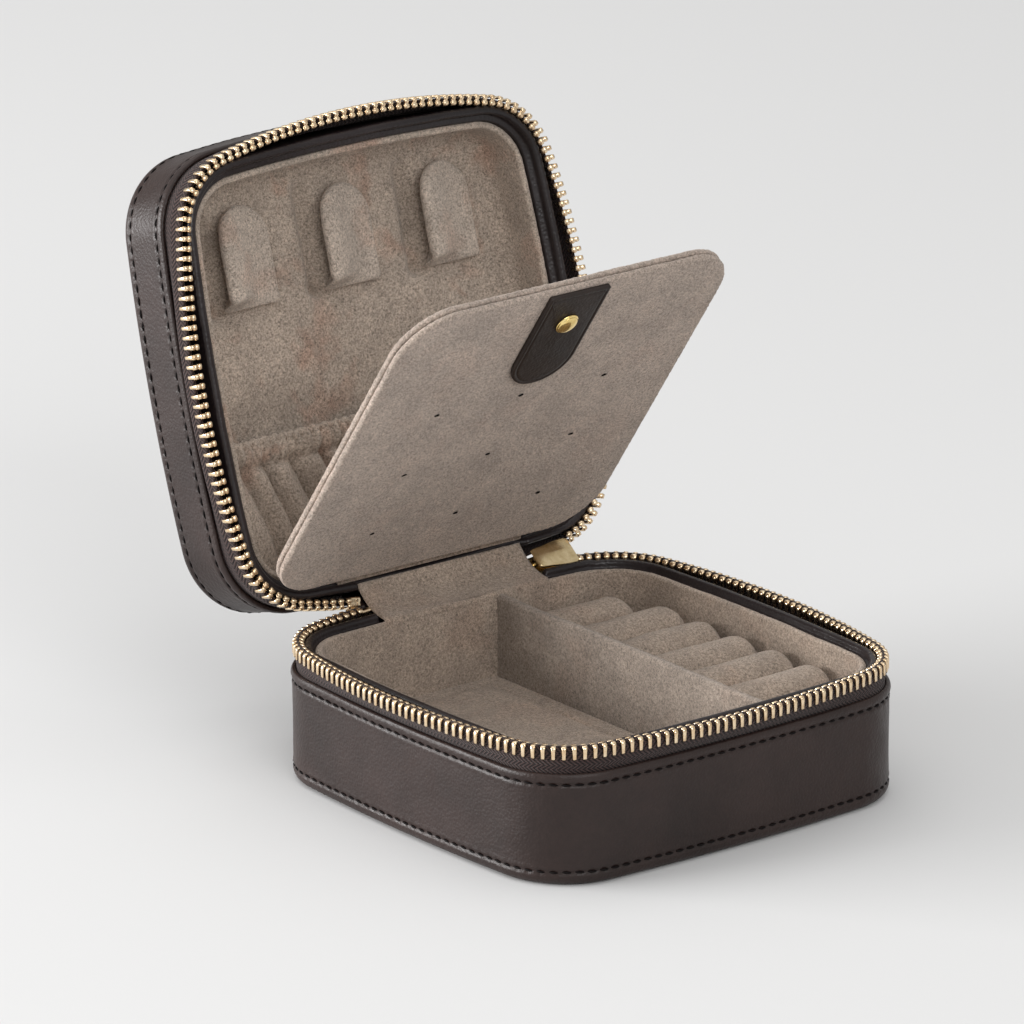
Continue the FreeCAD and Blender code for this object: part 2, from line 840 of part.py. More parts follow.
def turn_about_hinge(point, degrees):
    """Turn a point about the hinge line."""
    pivot = side_point(size("hinge_back"), size("hinge_height"), point.x)
    rotation = FreeCAD.Rotation(FreeCAD.Vector(1, 0, 0), degrees)
    return pivot + rotation.multVec(point - pivot)


def outer_hinge():
    """The strap of leather that joins the two walls outside, bent as it is when the lid stands open."""
    middle = size("half_width") - size("leather_thickness") / 2
    half_width = size("hinge_half_width") - size("gap")
    start = side_point(middle, size("base_leather_height") + size("gap"), -half_width)
    shut_end = side_point(middle, size("case_height") - size("lid_leather_height"), -half_width)
    end = turn_about_hinge(shut_end, -size("open_angle"))
    along = turn_about_hinge(shut_end + side_point(0, 1), -size("open_angle")) - end
    end = end - along * size("gap")
    reach = (end.y - start.y) / along.y
    corner = end - along * reach
    points = [(start, 0), (corner, size("hinge_bend")), (end, 0)]
    feature = document.addObject("Part::Feature", "outer_hinge_leather")
    feature.Shape = band_solid(points, size("leather_thickness"), 2 * half_width)
    finish(feature, "outer_hinge_leather")


def inner_hinge():
    """The suede strip that dips from the base lining to the lid lining."""
    left = -size("strip_left")
    start_y = size("half_width") - size("filling_inset") + size("strip_lap")
    start = side_point(start_y, size("base_lining_height") + size("strip_rise"), left)
    bend = size("strip_bend")
    reach = size("strip_reach")
    angle = math.asin(reach / bend)
    tangent = bend * math.tan(angle / 2)
    corner = start + side_point(tangent, 0)
    end = start + side_point(reach, bend * (1 - math.cos(angle)))
    points = [(start, 0), (corner, bend - 1e-3), (end, 0)]
    feature = document.addObject("Part::Feature", "inner_hinge_strip")
    feature.Shape = band_solid(points, size("strip_thickness"), size("strip_right") - left)
    finish(feature, "inner_hinge_strip")


def panel_hinge():
    """The narrow suede strip that joins the panel's back edge to the lid's lining."""
    half_width = size("panel_hinge_half_width")
    left = -half_width
    axis = value("panel_low + panel_face + gap + panel_board / 2")
    clear = size("panel_hinge_clear")
    lean = size("panel_hinge_lean")
    start = side_point(size("panel_back") + clear, axis + clear, left)
    end_z = value("case_height - lid_lining_height - panel_hinge_drop")
    end = side_point(size("panel_back") + size("panel_hinge_reach"), end_z, left)
    corner = side_point(start.y + lean, end.z - lean, left)
    points = [(start, 0), (corner, size("panel_hinge_bend")), (end, 0)]
    feature = document.addObject("Part::Feature", "panel_hinge_strip")
    feature.Shape = band_solid(points, size("panel_hinge_thickness"), 2 * half_width)
    finish(feature, "panel_hinge_strip", LID_OPEN)


outer_hinge()
inner_hinge()
panel_hinge()

# ---------------------------------------------------------------- folding panel


def panel_slab(label, low, thickness, margin, outer=None):
    """One layer of the panel: a rounded rectangle with the stud's hole through it."""
    body = new_body(label)
    sketch = new_sketch(body, height=low)
    left = f"0 - panel_half_width + {margin}"
    right = f"panel_half_width - {margin}"
    add_rectangle(sketch, left, right, f"panel_front + {margin}", f"panel_back - {margin}")
    slab = pad(body, sketch, thickness)
    slab = fillet(body, slab, upright(slab.Shape), f"panel_corner - {margin}")
    if outer:
        slab = fillet(body, slab, edges_where(slab.Shape, near_height(outer)), "face_round")
    sketch = new_sketch(body, height=low)
    add_circle(sketch, "0", "stud_place", "stud_post + stud_clearance")
    pocket(body, sketch, thickness)
    return body


def pin_holes(body):
    """A grid of small holes for earring posts in the panel's under face."""
    before = body.Shape.Volume
    sketch = new_sketch(body, height="panel_low")
    add_circle(sketch, "pin_hole_left", "pin_hole_near", "pin_hole_radius")
    hole = pocket(body, sketch, "pin_hole_depth")
    across = body.newObject("PartDesign::LinearPattern", "pins_across")
    along = body.newObject("PartDesign::LinearPattern", "pins_along")
    grid = body.newObject("PartDesign::MultiTransform", "pin_grid")
    grid.Originals = [hole]
    patterns = ((across, "H_Axis", "pin_pitch_across"), (along, "V_Axis", "pin_pitch_along"))
    for pattern, axis, pitch in patterns:
        pattern.Direction = (sketch, [axis])
        pattern.setExpression("Length", expand(f"2 * {pitch}"))
        pattern.Occurrences = PINS_IN_A_ROW
    along.Reversed = True
    grid.Transformations = [across, along]
    body.Tip = grid
    document.recompute()
    removed = before - body.Shape.Volume
    one = math.pi * size("pin_hole_radius") ** 2 * size("pin_hole_depth")
    if abs(removed - PINS_IN_A_ROW**2 * one) > one / 2:
        raise ValueError("the grid of pin holes is not complete")


UNDER = "panel_low"
BOARD = "panel_low + panel_face + gap"
UPPER = f"{BOARD} + panel_board + gap"
panel_under = panel_slab("panel_under_face", UNDER, "panel_face", "0", UNDER)
pin_holes(panel_under)
finish(panel_under, "panel_under_face", PANEL_OPEN)
finish(panel_slab("panel_board", BOARD, "panel_board", "panel_seam"), "panel_board", PANEL_OPEN)
upper_face = panel_slab("panel_upper_face", UPPER, "panel_face", "0", f"{UPPER} + panel_face")
finish(upper_face, "panel_upper_face", PANEL_OPEN)


def pull_tab():
    """The leather tongue under the panel's free edge."""
    body = new_body("pull_tab")
    low = "panel_low - gap - pull_thickness"
    sketch = new_sketch(body, height=low)
    add_rectangle(sketch, "0 - pull_half_width", "pull_half_width", "pull_start", "pull_end")
    tongue = pad(body, sketch, "pull_thickness")
    end = value("pull_end")
    corners = upright_at(tongue.Shape, end)
    tongue = fillet(body, tongue, corners, "pull_half_width - gap")
    sketch = new_sketch(body, height=low)
    add_circle(sketch, "0", "stud_place", "stud_post + stud_clearance")
    pocket(body, sketch, "pull_thickness")
    finish(body, "pull_tab", PANEL_OPEN)


pull_tab()


def stud():
    """The domed stud with its post, and the washer that holds it behind the panel."""
    tab_low = value("panel_low - gap - pull_thickness - gap")
    washer_low = value(f"{UPPER} + panel_face + gap")
    rise = size("stud_dome")
    radius = size("stud_radius")
    ball_radius = (radius**2 + rise**2) / (2 * rise)
    body = new_body("stud_cap")
    sketch = new_sketch(body, "XZ_Plane")
    dome_centre = FreeCAD.Vector(0, tab_low - rise + ball_radius, 0)
    spread = math.asin(radius / ball_radius)
    straight_down = -math.pi / 2
    dome = Part.ArcOfCircle(
        Part.Circle(dome_centre, FreeCAD.Vector(0, 0, 1), ball_radius), straight_down, straight_down + spread
    )
    post = size("stud_post")
    top = washer_low + size("stud_back_thickness") + size("gap")
    corners = [
        FreeCAD.Vector(radius, tab_low, 0),
        FreeCAD.Vector(post, tab_low, 0),
        FreeCAD.Vector(post, top, 0),
        FreeCAD.Vector(0, top, 0),
        FreeCAD.Vector(0, tab_low - rise, 0),
    ]
    sketch.addGeometry(dome, False)
    for start, end in zip(corners, corners[1:]):
        sketch.addGeometry(Part.LineSegment(start, end), False)
    for index in range(5):
        first_point = 2
        sketch.addConstraint(Sketcher.Constraint("Coincident", index, first_point, (index + 1) % 5, 1))
    rule = sketch.addConstraint(Sketcher.Constraint("Radius", 0, ball_radius))
    ball = "( stud_radius ^ 2 + stud_dome ^ 2 ) / ( 2 * stud_dome )"
    sketch.setExpression(f"Constraints[{rule}]", expand(ball))
    pin_point(sketch, 1, 1, "stud_radius", "panel_low - pull_thickness - 2 * gap")
    pin_point(sketch, 2, 2, "stud_post", f"{UPPER} + panel_face + stud_back_thickness + 2 * gap")
    sketch.addConstraint(Sketcher.Constraint("Horizontal", 1))
    sketch.addConstraint(Sketcher.Constraint("Vertical", 2))
    sketch.addConstraint(Sketcher.Constraint("Horizontal", 3))
    sketch.addConstraint(Sketcher.Constraint("PointOnObject", 4, 1, -2))
    sketch.addConstraint(Sketcher.Constraint("PointOnObject", 4, 2, -2))
    spin = body.newObject("PartDesign::Revolution", "stud_turned")
    spin.Profile = sketch
    spin.ReferenceAxis = (sketch, ["V_Axis"])
    spin.Angle = 360
    document.recompute()
    place = PANEL_OPEN + " * placement(vector(0; sizes.stud_place; 0); rotation(vector(1; 0; 0); 0))"
    finish(body, "stud_cap", place)
    washer = new_body("stud_back")
    sketch = new_sketch(washer, height=f"{UPPER} + panel_face + gap")
    add_circle(sketch, "0", "stud_place", "stud_back_radius")
    add_circle(sketch, "0", "stud_place", "stud_post + stud_clearance")
    pad(washer, sketch, "stud_back_thickness")
    finish(washer, "stud_back", PANEL_OPEN)


stud()

# ---------------------------------------------------------------- slider and puller


def slider():
    """Two plates joined by a post, open where the tapes pass, with a bail on the outer plate."""
    body = new_body("slider_body")
    left = "slider_centre - slider_half_length"
    right = "slider_centre + slider_half_length"
    inner_face = "slider_line - slider_mouth / 2 - slider_plate"
    outer_face = "slider_line + slider_mouth / 2"
    low = "hinge_height - slider_half_height"
    high = "hinge_height + slider_half_height"
    # the plane's normal points towards -Y, so a plate starts at its back face
    plates = []
    for face in (inner_face, outer_face):
        sketch = new_sketch(body, "XZ_Plane", f"0 - ( {face} ) - slider_plate")
        add_rectangle(sketch, left, right, low, high)
        plates.append(sketch)
    post = new_sketch(body, "XZ_Plane", "0 - ( slider_line ) - slider_mouth / 2")
    add_rectangle(
        post,
        f"{left} + slider_post_inset",
        f"{left} + slider_post_inset + 2 * slider_post",
        "hinge_height - slider_post",
        "hinge_height + slider_post",
    )
    pad(body, plates[0], "slider_plate")
    pad(body, post, "slider_mouth + slider_overlap")
    slab = pad(body, plates[1], "slider_plate + gap")
    inner = value(inner_face)
    rim = edges_where(slab.Shape, lambda point: abs(point.y - inner) < NEAR)
    fillet(body, slab, rim, "slider_plate / 2")
    finish(body, "slider_body", SLIDER_OPEN)
    bail = new_body("slider_bail")
    outer = "slider_line + slider_mouth / 2 + slider_plate + gap"
    bar = new_sketch(bail, "YZ_Plane", "slider_centre - bail_half_length")
    add_circle(bar, f"{outer} + bail_rise", "hinge_height", "bail_wire")
    pad(bail, bar, "2 * bail_half_length")
    for shift in ("0 - bail_half_length", "bail_half_length - 2 * bail_wire"):
        leg = new_sketch(bail, "XZ_Plane", f"0 - ( {outer} ) - bail_rise")
        add_rectangle(
            leg,
            f"slider_centre + {shift}",
            f"slider_centre + {shift} + 2 * bail_wire",
            "hinge_height - bail_wire",
            "hinge_height + bail_wire",
        )
        pad(bail, leg, "bail_rise")
    finish(bail, "slider_bail", SLIDER_OPEN)


slider()


def puller():
    """The pull that hangs from the slider's bail behind the case, rolled round the bail at its top."""
    bar_line = value("slider_line + slider_mouth / 2 + slider_plate + gap + bail_rise")
    bar = turn_about_hinge(side_point(bar_line, size("hinge_height")), -size("open_angle") / 2)
    body = new_body("puller")
    for half_width, low, high in (
        ("puller_width / 2", "0 - puller_length", "0 - puller_neck"),
        ("puller_barrel_length / 2", "0 - puller_neck - puller_overlap", "0"),
    ):
        sketch = new_sketch(body, "XZ_Plane", "0 - puller_thickness / 2")
        add_rectangle(sketch, f"slider_centre - {half_width}", f"slider_centre + {half_width}", low, high)
        feature = pad(body, sketch, "puller_thickness")
        if low.endswith("length"):
            across = [
                f"Edge{index}"
                for index, edge in enumerate(feature.Shape.Edges, start=1)
                if abs(edge.Vertexes[0].Point.y - edge.Vertexes[1].Point.y) > size("gap")
            ]
            fillet(body, feature, across, "puller_round")
    sketch = new_sketch(body, "YZ_Plane", "slider_centre - puller_barrel_length / 2")
    add_circle(sketch, "0", "0", "puller_barrel")
    pad(body, sketch, "puller_barrel_length")
    sketch = new_sketch(body, "YZ_Plane", "slider_centre - puller_barrel_length / 2")
    add_circle(sketch, "0", "0", "bail_wire + bail_clearance")
    pocket(body, sketch, "puller_barrel_length")
    place = f"placement(vector(0; {bar.y:.4f}; {bar.z:.4f}); rotation(vector(1; 0; 0); 0))"
    finish(body, "puller", place)
    print("puller pivot", round(bar.y, 4), round(bar.z, 4))


puller()

# ---------------------------------------------------------------- checks and files

document.recompute()
for item in document.Objects:
    if "Invalid" in item.State or "Error" in item.State:
        raise ValueError(f"{item.Name} ({item.Label}) did not compute: {item.State}")
for node in nodes:
    if node.Shape.isNull() or not node.Shape.isValid() or node.Shape.Volume <= 0:
        raise ValueError(f"{node.Label} has a bad shape")

os.makedirs("parts", exist_ok=True)
for old in os.listdir("parts"):
    os.remove(os.path.join("parts", old))
for node in nodes:
    node.Shape.exportStep(f"parts/{node.Label}.step")
print(len(nodes), "nodes written")
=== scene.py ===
import json
import math
import random

import bpy
import numpy as np
from mathutils import Matrix, Vector, noise


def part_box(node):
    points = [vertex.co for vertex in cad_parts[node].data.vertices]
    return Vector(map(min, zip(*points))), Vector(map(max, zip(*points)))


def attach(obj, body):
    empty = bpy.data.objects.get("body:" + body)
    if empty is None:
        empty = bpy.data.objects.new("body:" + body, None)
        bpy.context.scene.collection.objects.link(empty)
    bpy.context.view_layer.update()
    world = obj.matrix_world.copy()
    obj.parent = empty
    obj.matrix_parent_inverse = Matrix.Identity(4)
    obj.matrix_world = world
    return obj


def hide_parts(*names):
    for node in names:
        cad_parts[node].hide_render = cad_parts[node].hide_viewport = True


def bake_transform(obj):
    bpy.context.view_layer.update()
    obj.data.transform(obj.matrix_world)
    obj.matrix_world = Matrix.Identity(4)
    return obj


# A zip-round leather jewellery case with its lid open. Shapes are worked out in millimetres with the
# case shut and the origin under its centre, then turned with their body to the open rest position.

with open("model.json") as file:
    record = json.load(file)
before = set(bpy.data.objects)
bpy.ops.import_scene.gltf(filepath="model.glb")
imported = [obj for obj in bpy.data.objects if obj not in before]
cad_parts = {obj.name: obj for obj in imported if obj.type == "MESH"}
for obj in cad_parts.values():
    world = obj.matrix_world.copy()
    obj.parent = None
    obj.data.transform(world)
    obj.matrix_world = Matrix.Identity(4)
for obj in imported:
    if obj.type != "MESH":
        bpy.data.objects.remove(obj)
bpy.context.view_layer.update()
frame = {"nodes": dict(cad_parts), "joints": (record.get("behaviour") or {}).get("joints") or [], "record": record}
MM = 0.001
random.seed(7)

# ---------------------------------------------------------------- sizes shared with the frame


def box_mm(node):
    """The corners of a CAD node, in millimetres."""
    low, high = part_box(node)
    return low / MM, high / MM


JOINTS = {joint["name"]: joint for joint in frame["joints"]}
COUPLINGS = {row["joint"]: row["ratio"] for row in frame["record"]["behaviour"]["couplings"]}
OPEN_ANGLE = math.radians(JOINTS["lid_hinge"]["range_deg"][1])
HINGE = Vector(JOINTS["lid_hinge"]["pos_m"]) / MM


def turn(pivot, angle):
    """A turn about an axis along X through a point."""
    return Matrix.Translation(pivot) @ Matrix.Rotation(angle, 4, "X") @ Matrix.Translation(-pivot)


LID = turn(HINGE, -OPEN_ANGLE)
SLIDER = turn(HINGE, -OPEN_ANGLE / 2)
PANEL_AXIS = LID.inverted() @ (Vector(JOINTS["panel_fold"]["pos_m"]) / MM)
PANEL = LID @ turn(PANEL_AXIS, -COUPLINGS["panel_fold"] * OPEN_ANGLE)
PLACES = {"base": Matrix.Identity(4), "lid": LID, "panel": PANEL, "slider": SLIDER}

BASE_WALL_TOP = box_mm("base_side_leather")[1].z
HALF_WIDTH = box_mm("base_side_leather")[1].x
BASE_COLLAR_TOP = box_mm("base_collar")[1].z
BASE_LINING_TOP = box_mm("base_lining_wall")[1].z
FLOOR_TOP = box_mm("floor_pad")[1].z
LAYER_LOW = box_mm("floor_foam")[0].z
BED_TOP = box_mm("ring_bed")[1].z
DIVIDER_LOW, DIVIDER_HIGH = box_mm("divider")
CASE_HEIGHT = 52.6
CLOSING_PLANE = HINGE.z
LID_WALL_HEIGHT = 15.1
LID_COLLAR_DEPTH = CASE_HEIGHT - CLOSING_PLANE - 0.4
LID_LINING_DEPTH = 20.0
LID_FLOOR_DEPTH = 8.1
SKIN_THICKNESS = 0.9
TURN_IN = 3.0
STITCH_LOW = 3.0
STITCH_BELOW_RIM = 2.4
TAPE_INSET = 0.95
TAPE_THICKNESS = 0.6
TAPE_FLARE = 4.1
TAPE_EDGE_GAP = 0.75
SLIDER_RELIEF = 2.9
COLLAR_INSET = 2.4
TRAY_EXTRA = 1.5
BASE_LINING_EXTRA = 0.8
LINING_INSET = 4.15
FILLING_INSET = 5.75
ZIP_LEFT = -21.2
ZIP_RIGHT = 37.6
TOOTH_PITCH = 2.1
SLIDER_END = 35.0
STRIP_LEFT, STRIP_RIGHT = -20.2, 24.3
TAPE_END = 24.2
HINGE_LEATHER_RIGHT = 24.4
NAP_GRAIN = 0.9

# ---------------------------------------------------------------- outlines


class Outline:
    """A bowed square: four shallow side arcs joined by four tangent corner arcs."""

    def __init__(self, half, corner, bow):
        self.corner = corner
        self.bow = bow
        self.shift = half - bow
        reach = bow - corner
        self.centre = (self.shift + math.sqrt(2 * reach**2 - self.shift**2)) / 2
        self.swing = math.atan2(self.centre, self.centre - self.shift)
        self.side = 2 * self.swing * bow
        self.bend = (math.pi / 2 - 2 * self.swing) * corner
        self.total = 4 * (self.side + self.bend)

    def at(self, distance):
        """Points and outward directions at distances counter-clockwise from the right side's front end."""
        rest = np.asarray(distance, float) % self.total
        quarter = np.floor(rest / (self.side + self.bend))
        rest = rest - quarter * (self.side + self.bend)
        straight = rest < self.side
        side_angle = rest / self.bow - self.swing
        corner_angle = self.swing + (rest - self.side) / self.corner
        angle = np.where(straight, side_angle, corner_angle)
        radius = np.where(straight, self.bow, self.corner)
        x = np.where(straight, self.shift, self.centre) + radius * np.cos(angle)
        y = np.where(straight, 0.0, self.centre) + radius * np.sin(angle)
        c, s = np.cos(quarter * math.pi / 2), np.sin(quarter * math.pi / 2)
        points = np.stack([c * x - s * y, s * x + c * y], -1)
        heading = angle + quarter * math.pi / 2
        return points, np.stack([np.cos(heading), np.sin(heading)], -1)

    def signed_distance(self, points):
        """How far points lie outside the outline, negative inside."""
        far = np.abs(points).max(-1)
        near = np.abs(points).min(-1)
        on_side = np.arctan2(near, far - self.shift) < self.swing
        to_side = np.hypot(far - self.shift, near) - self.bow
        to_corner = np.hypot(far - self.centre, near - self.centre) - self.corner
        return np.where(on_side, to_side, to_corner)

    def find_back(self, x):
        """The distance at which the line crosses a given x on its back stretch."""
        low = self.side + self.bend / 2
        high = low + self.side + self.bend
        for _ in range(50):
            middle = (low + high) / 2
            if self.at(middle)[0][0] > x:
                low = middle
            else:
                high = middle
        return low


LEATHER = Outline(HALF_WIDTH, 17.6, 512.0)
ZIP = Outline(52.5, 17.0, 174.0)


def zip_outset(points, normals):
    """How far the zip line lies outside the leather outline at each station."""
    reach = np.zeros(len(points))
    for _ in range(6):
        reach -= ZIP.signed_distance(points + normals * reach[:, None])
    return reach


class Half:
    """One half of the case, with depths counted from its own outer skin."""

    def __init__(self, name, wall, collar, lining):
        self.name = name
        self.is_lid = name == "lid"
        self.wall = wall
        self.collar = collar
        self.lining = lining
        self.meeting = CASE_HEIGHT - CLOSING_PLANE if self.is_lid else CLOSING_PLANE

    def level(self, depth):
        return CASE_HEIGHT - depth if self.is_lid else depth

    def keep(self, piece, *nodes):
        return settle(piece, self.name, *(f"{self.name}_{node}" for node in nodes))


BASE = Half("base", BASE_WALL_TOP, BASE_COLLAR_TOP, BASE_LINING_TOP)
LID_HALF = Half("lid", LID_WALL_HEIGHT, LID_COLLAR_DEPTH, LID_LINING_DEPTH)

# ---------------------------------------------------------------- mesh helpers


def smooth(t):
    """A smooth step from 0 to 1."""
    t = np.clip(t, 0, 1)
    return t * t * (3 - 2 * t)


def bump(distance, width):
    """A soft hill of height 1."""
    return np.exp(-((distance / width) ** 2))


def wobble(points, wavelength, seed=0.0):
    """Smooth noise between about -1 and 1 at each point."""
    flat = points.reshape(-1, 3) / wavelength + seed
    values = [noise.noise(Vector(point)) for point in flat]
    return np.array(values).reshape(points.shape[:-1]) * 1.6


def make_mesh(name, points, faces, corner_uv=None):
    """A smooth-shaded mesh object from points in millimetres."""
    data = bpy.data.meshes.new(name)
    spots = (np.asarray(points, float) * MM).tolist()
    data.from_pydata(spots, [], [list(map(int, face)) for face in faces])
    if corner_uv is not None:
        layer = data.uv_layers.new(name="cloth")
        layer.data.foreach_set("uv", np.asarray(corner_uv, np.float32).ravel())
    data.polygons.foreach_set("use_smooth", [True] * len(data.polygons))
    data.update()
    piece = bpy.data.objects.new(name, data)
    bpy.context.scene.collection.objects.link(piece)
    return piece


def volume_sign(points, quads):
    """Positive when the faces look outwards."""
    a, b, c, d = (points[quads[:, i]] for i in range(4))
    return np.einsum("ij,ij->", a, np.cross(b, c)) + np.einsum("ij,ij->", a, np.cross(c, d))


def ring_quads(rows, columns, wrap=False):
    """Quads over closed rows of points; wrap also joins the last row to the first."""
    i, j = np.meshgrid(np.arange(rows if wrap else rows - 1), np.arange(columns), indexing="ij")
    here, there, after = i * columns, (i + 1) % rows * columns, (j + 1) % columns
    return np.stack([here + j, here + after, there + after, there + j], -1).reshape(-1, 4)


def arc(middle, radius, start, end, steps):
    """Points round an arc between two angles in degrees, without the first."""
    turns = np.radians(np.linspace(start, end, steps + 1)[1:])
    return [(middle[0] + radius * math.cos(t), middle[1] + radius * math.sin(t)) for t in turns]


def place_at(x, y, z=0.0):
    """Rows of points from their coordinates."""
    return np.stack(np.broadcast_arrays(x, y, z), -1)


def grid_piece(name, points, wrap_along=False, wrap_across=True):
    """A piece from rows of points along it, each row going round its section. Open ends are capped."""
    rows, columns = points.shape[:2]
    count_along = rows if wrap_along else rows - 1
    count_across = columns if wrap_across else columns - 1
    i, j = np.meshgrid(np.arange(count_along), np.arange(count_across), indexing="ij")
    i_next, j_next = (i + 1) % rows, (j + 1) % columns
    pairs = [(i, j), (i_next, j), (i_next, j_next), (i, j_next)]
    quads = np.stack([a * columns + b for a, b in pairs], -1).reshape(-1, 4)
    looped = np.concatenate([points, points[:1]], 0)
    along = np.concatenate([[0], np.cumsum(np.linalg.norm(np.diff(looped, axis=0), axis=2).max(1))]) * MM
    section = np.concatenate([points[rows // 2], points[rows // 2, :1]], 0)
    across = np.concatenate([[0], np.cumsum(np.linalg.norm(np.diff(section, axis=0), axis=1))]) * MM
    uv = np.stack(
        [
            np.stack([along[i], along[i + 1], along[i + 1], along[i]], -1),
            np.stack([across[j], across[j], across[j + 1], across[j + 1]], -1),
        ],
        -1,
    ).reshape(-1, 4, 2)
    flat = points.reshape(-1, 3)
    if volume_sign(flat - flat.mean(0), quads) < 0:
        quads = quads[:, ::-1]
        uv = uv[:, ::-1]
    faces = quads.tolist()
    uv = uv.reshape(-1, 2).tolist()
    if wrap_across and not wrap_along:
        first = list(range(columns))
        last = [(rows - 1) * columns + k for k in range(columns)]
        sample = quads[0].tolist()
        forward = any(sample[k] == 0 and sample[(k + 1) % 4] == 1 for k in range(4))
        ends = (first[::-1], last) if forward else (first, last[::-1])
        for end in ends:
            faces.append(end)
            uv += [[0.0, 0.0]] * columns
    return make_mesh(name, flat, faces, uv)


def round_section(corners, step=0.5):
    """A closed line from (across, up, radius) corners: arcs at the corners and even steps between."""
    count = len(corners)
    line = []
    for k in range(count):
        before, here, after = (np.array(corners[(k + shift) % count][:2], float) for shift in (-1, 0, 1))
        radius = corners[k][2]
        into = (before - here) / np.linalg.norm(before - here)
        out = (after - here) / np.linalg.norm(after - here)
        half = math.acos(float(np.clip(into @ out, -1, 1))) / 2
        reach = radius / math.tan(half)
        middle = (into + out) / np.linalg.norm(into + out) * (radius / math.sin(half))
        start, end = here + into * reach - (here + middle), here + out * reach - (here + middle)
        swing = math.atan2(start[0] * end[1] - start[1] * end[0], start @ end)
        steps = max(3, int(abs(swing) * radius / step * 2) + 3)
        for t in np.linspace(0, swing, steps):
            c, s = math.cos(t), math.sin(t)
            turned = np.array([c * start[0] - s * start[1], s * start[0] + c * start[1]])
            line.append(here + middle + turned)
    full = []
    for k, point in enumerate(line):
        after = line[(k + 1) % len(line)]
        pieces = max(1, int(round(np.linalg.norm(after - point) / step)))
        full += [point + (after - point) * t for t in np.arange(pieces) / pieces]
    return np.array(full)


def sweep(outline_distance, section, level, shift=None):
    """Rows of points: a section of (outset, depth) carried along the leather outline."""
    spots, normals = LEATHER.at(outline_distance)
    outset = np.broadcast_to(section[..., 0], (len(spots), section.shape[-2])).copy()
    depth = np.broadcast_to(section[..., 1], outset.shape).copy()
    if shift is not None:
        outset, depth = shift(spots, normals, outset, depth)
    xy = spots[:, None] + normals[:, None] * outset[..., None]
    return np.concatenate([xy, level(depth)[..., None]], -1)


def move(piece, matrix):
    """Move the mesh itself by a matrix given in millimetres."""
    scaled = Matrix.Scale(MM, 4) @ matrix @ Matrix.Scale(1 / MM, 4)
    piece.data.transform(scaled)
    piece.data.update()


def settle(piece, body, *nodes):
    """Put a piece in its body's open place, let it ride there and stand for its CAD nodes."""
    if body in PLACES:
        move(piece, PLACES[body])
    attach(piece, body)
    if nodes:
        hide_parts(*nodes)
    return piece


def dress(piece, finish):
    """Give a piece its material."""
    piece.data.materials.clear()
    piece.data.materials.append(finish)
    return piece


def joined(name, parts):
    """One mesh from many (points, faces) parts."""
    points, faces, start = [], [], 0
    for part_points, part_faces in parts:
        points.append(part_points)
        faces += [[index + start for index in face] for face in part_faces]
        start += len(part_points)
    return make_mesh(name, np.concatenate(points), faces)


def inset_loop(loop, distance):
    """A loop of points moved inwards along its own normals."""
    ahead, behind = np.roll(loop, -1, 0), np.roll(loop, 1, 0)
    along = ahead - behind
    along /= np.linalg.norm(along, axis=1)[:, None]
    inward = np.stack([-along[:, 1], along[:, 0]], -1)
    return loop + inward * distance


def edge_profile(height, edge, back_edge):
    """(inset, height) points up a slab's side: eased back edge, upright face and rounded front edge."""
    flats = max(1, int((height - edge - back_edge) / 0.8))
    upright = [(0.0, back_edge + (height - edge - back_edge) * k / flats) for k in range(1, flats + 1)]
    eased = arc((back_edge, back_edge), back_edge, -90, -180, 3)
    rounded = arc((edge, height - edge), edge, 180, 90, max(5, int(edge * 4)))
    return [(back_edge, 0.0), *eased, *upright, *rounded]


def pad_piece(name, loop, back, face, edge, crown, rings=34, relief=None, back_edge=0.15, profile=None):
    """A padded slab over a counter-clockwise outline, with a profiled side and a crowned face."""
    side = 1.0 if face > back else -1.0
    if profile is None:
        profile = edge_profile(abs(face - back), edge, back_edge)
    rim_inset, height = profile[-1]
    rows = []
    for inset, level in profile:
        rows.append(np.column_stack([inset_loop(loop, inset), np.full(len(loop), level)]))
    rim = inset_loop(loop, rim_inset)
    centre = rim.mean(0)
    for k in range(1, rings):
        t = k / rings
        spots = rim + (centre - rim) * t
        rows.append(np.column_stack([spots, np.full(len(loop), height)]))
    grid = np.array(rows)
    on_face = np.zeros(len(rows), bool)
    on_face[len(profile) - 1 :] = True
    reach = np.linalg.norm(grid[:, :, :2] - rim[None], axis=2)
    lift = crown * (1 - np.exp(-((reach / 9.0) ** 1.2)))
    grid[on_face, :, 2] += lift[on_face]
    if relief is not None:
        share = smooth(reach / 1.5) * on_face[:, None]
        grid[:, :, 2] += relief(grid[:, :, 0], grid[:, :, 1]) * share
    grid[:, :, 2] = back + side * grid[:, :, 2]
    count = len(loop)
    flat = grid.reshape(-1, 3)
    tip = np.array([[centre[0], centre[1], grid[-1, :, 2].mean()]])
    floor = np.array([[centre[0], centre[1], back]])
    points = np.concatenate([flat, tip, floor])
    faces = ring_quads(len(rows), count).tolist()
    last = (len(rows) - 1) * count
    faces += [[last + k, last + (k + 1) % count, len(flat)] for k in range(count)]
    faces += [[(k + 1) % count, k, len(flat) + 1] for k in range(count)]
    if side < 0:
        faces = [face[::-1] for face in faces]
    return make_mesh(name, points, faces)


def read_points(piece, what="co"):
    """A mesh's points or normals as rows, in the mesh's own units."""
    rows = np.zeros(len(piece.data.vertices) * 3)
    piece.data.vertices.foreach_get(what, rows)
    return rows.reshape(-1, 3)


def write_points(piece, rows):
    """Put points back in a mesh."""
    piece.data.vertices.foreach_set("co", rows.ravel())
    piece.data.update()


def fuzz(piece, amount=0.05, grain=NAP_GRAIN, seed=0.0):
    """Push a mesh's points in and out a little along their normals, as brushed nap does."""
    points = read_points(piece)
    lift = wobble(points / MM, grain, seed) * amount * MM
    write_points(piece, points + read_points(piece, "normal") * lift[:, None])


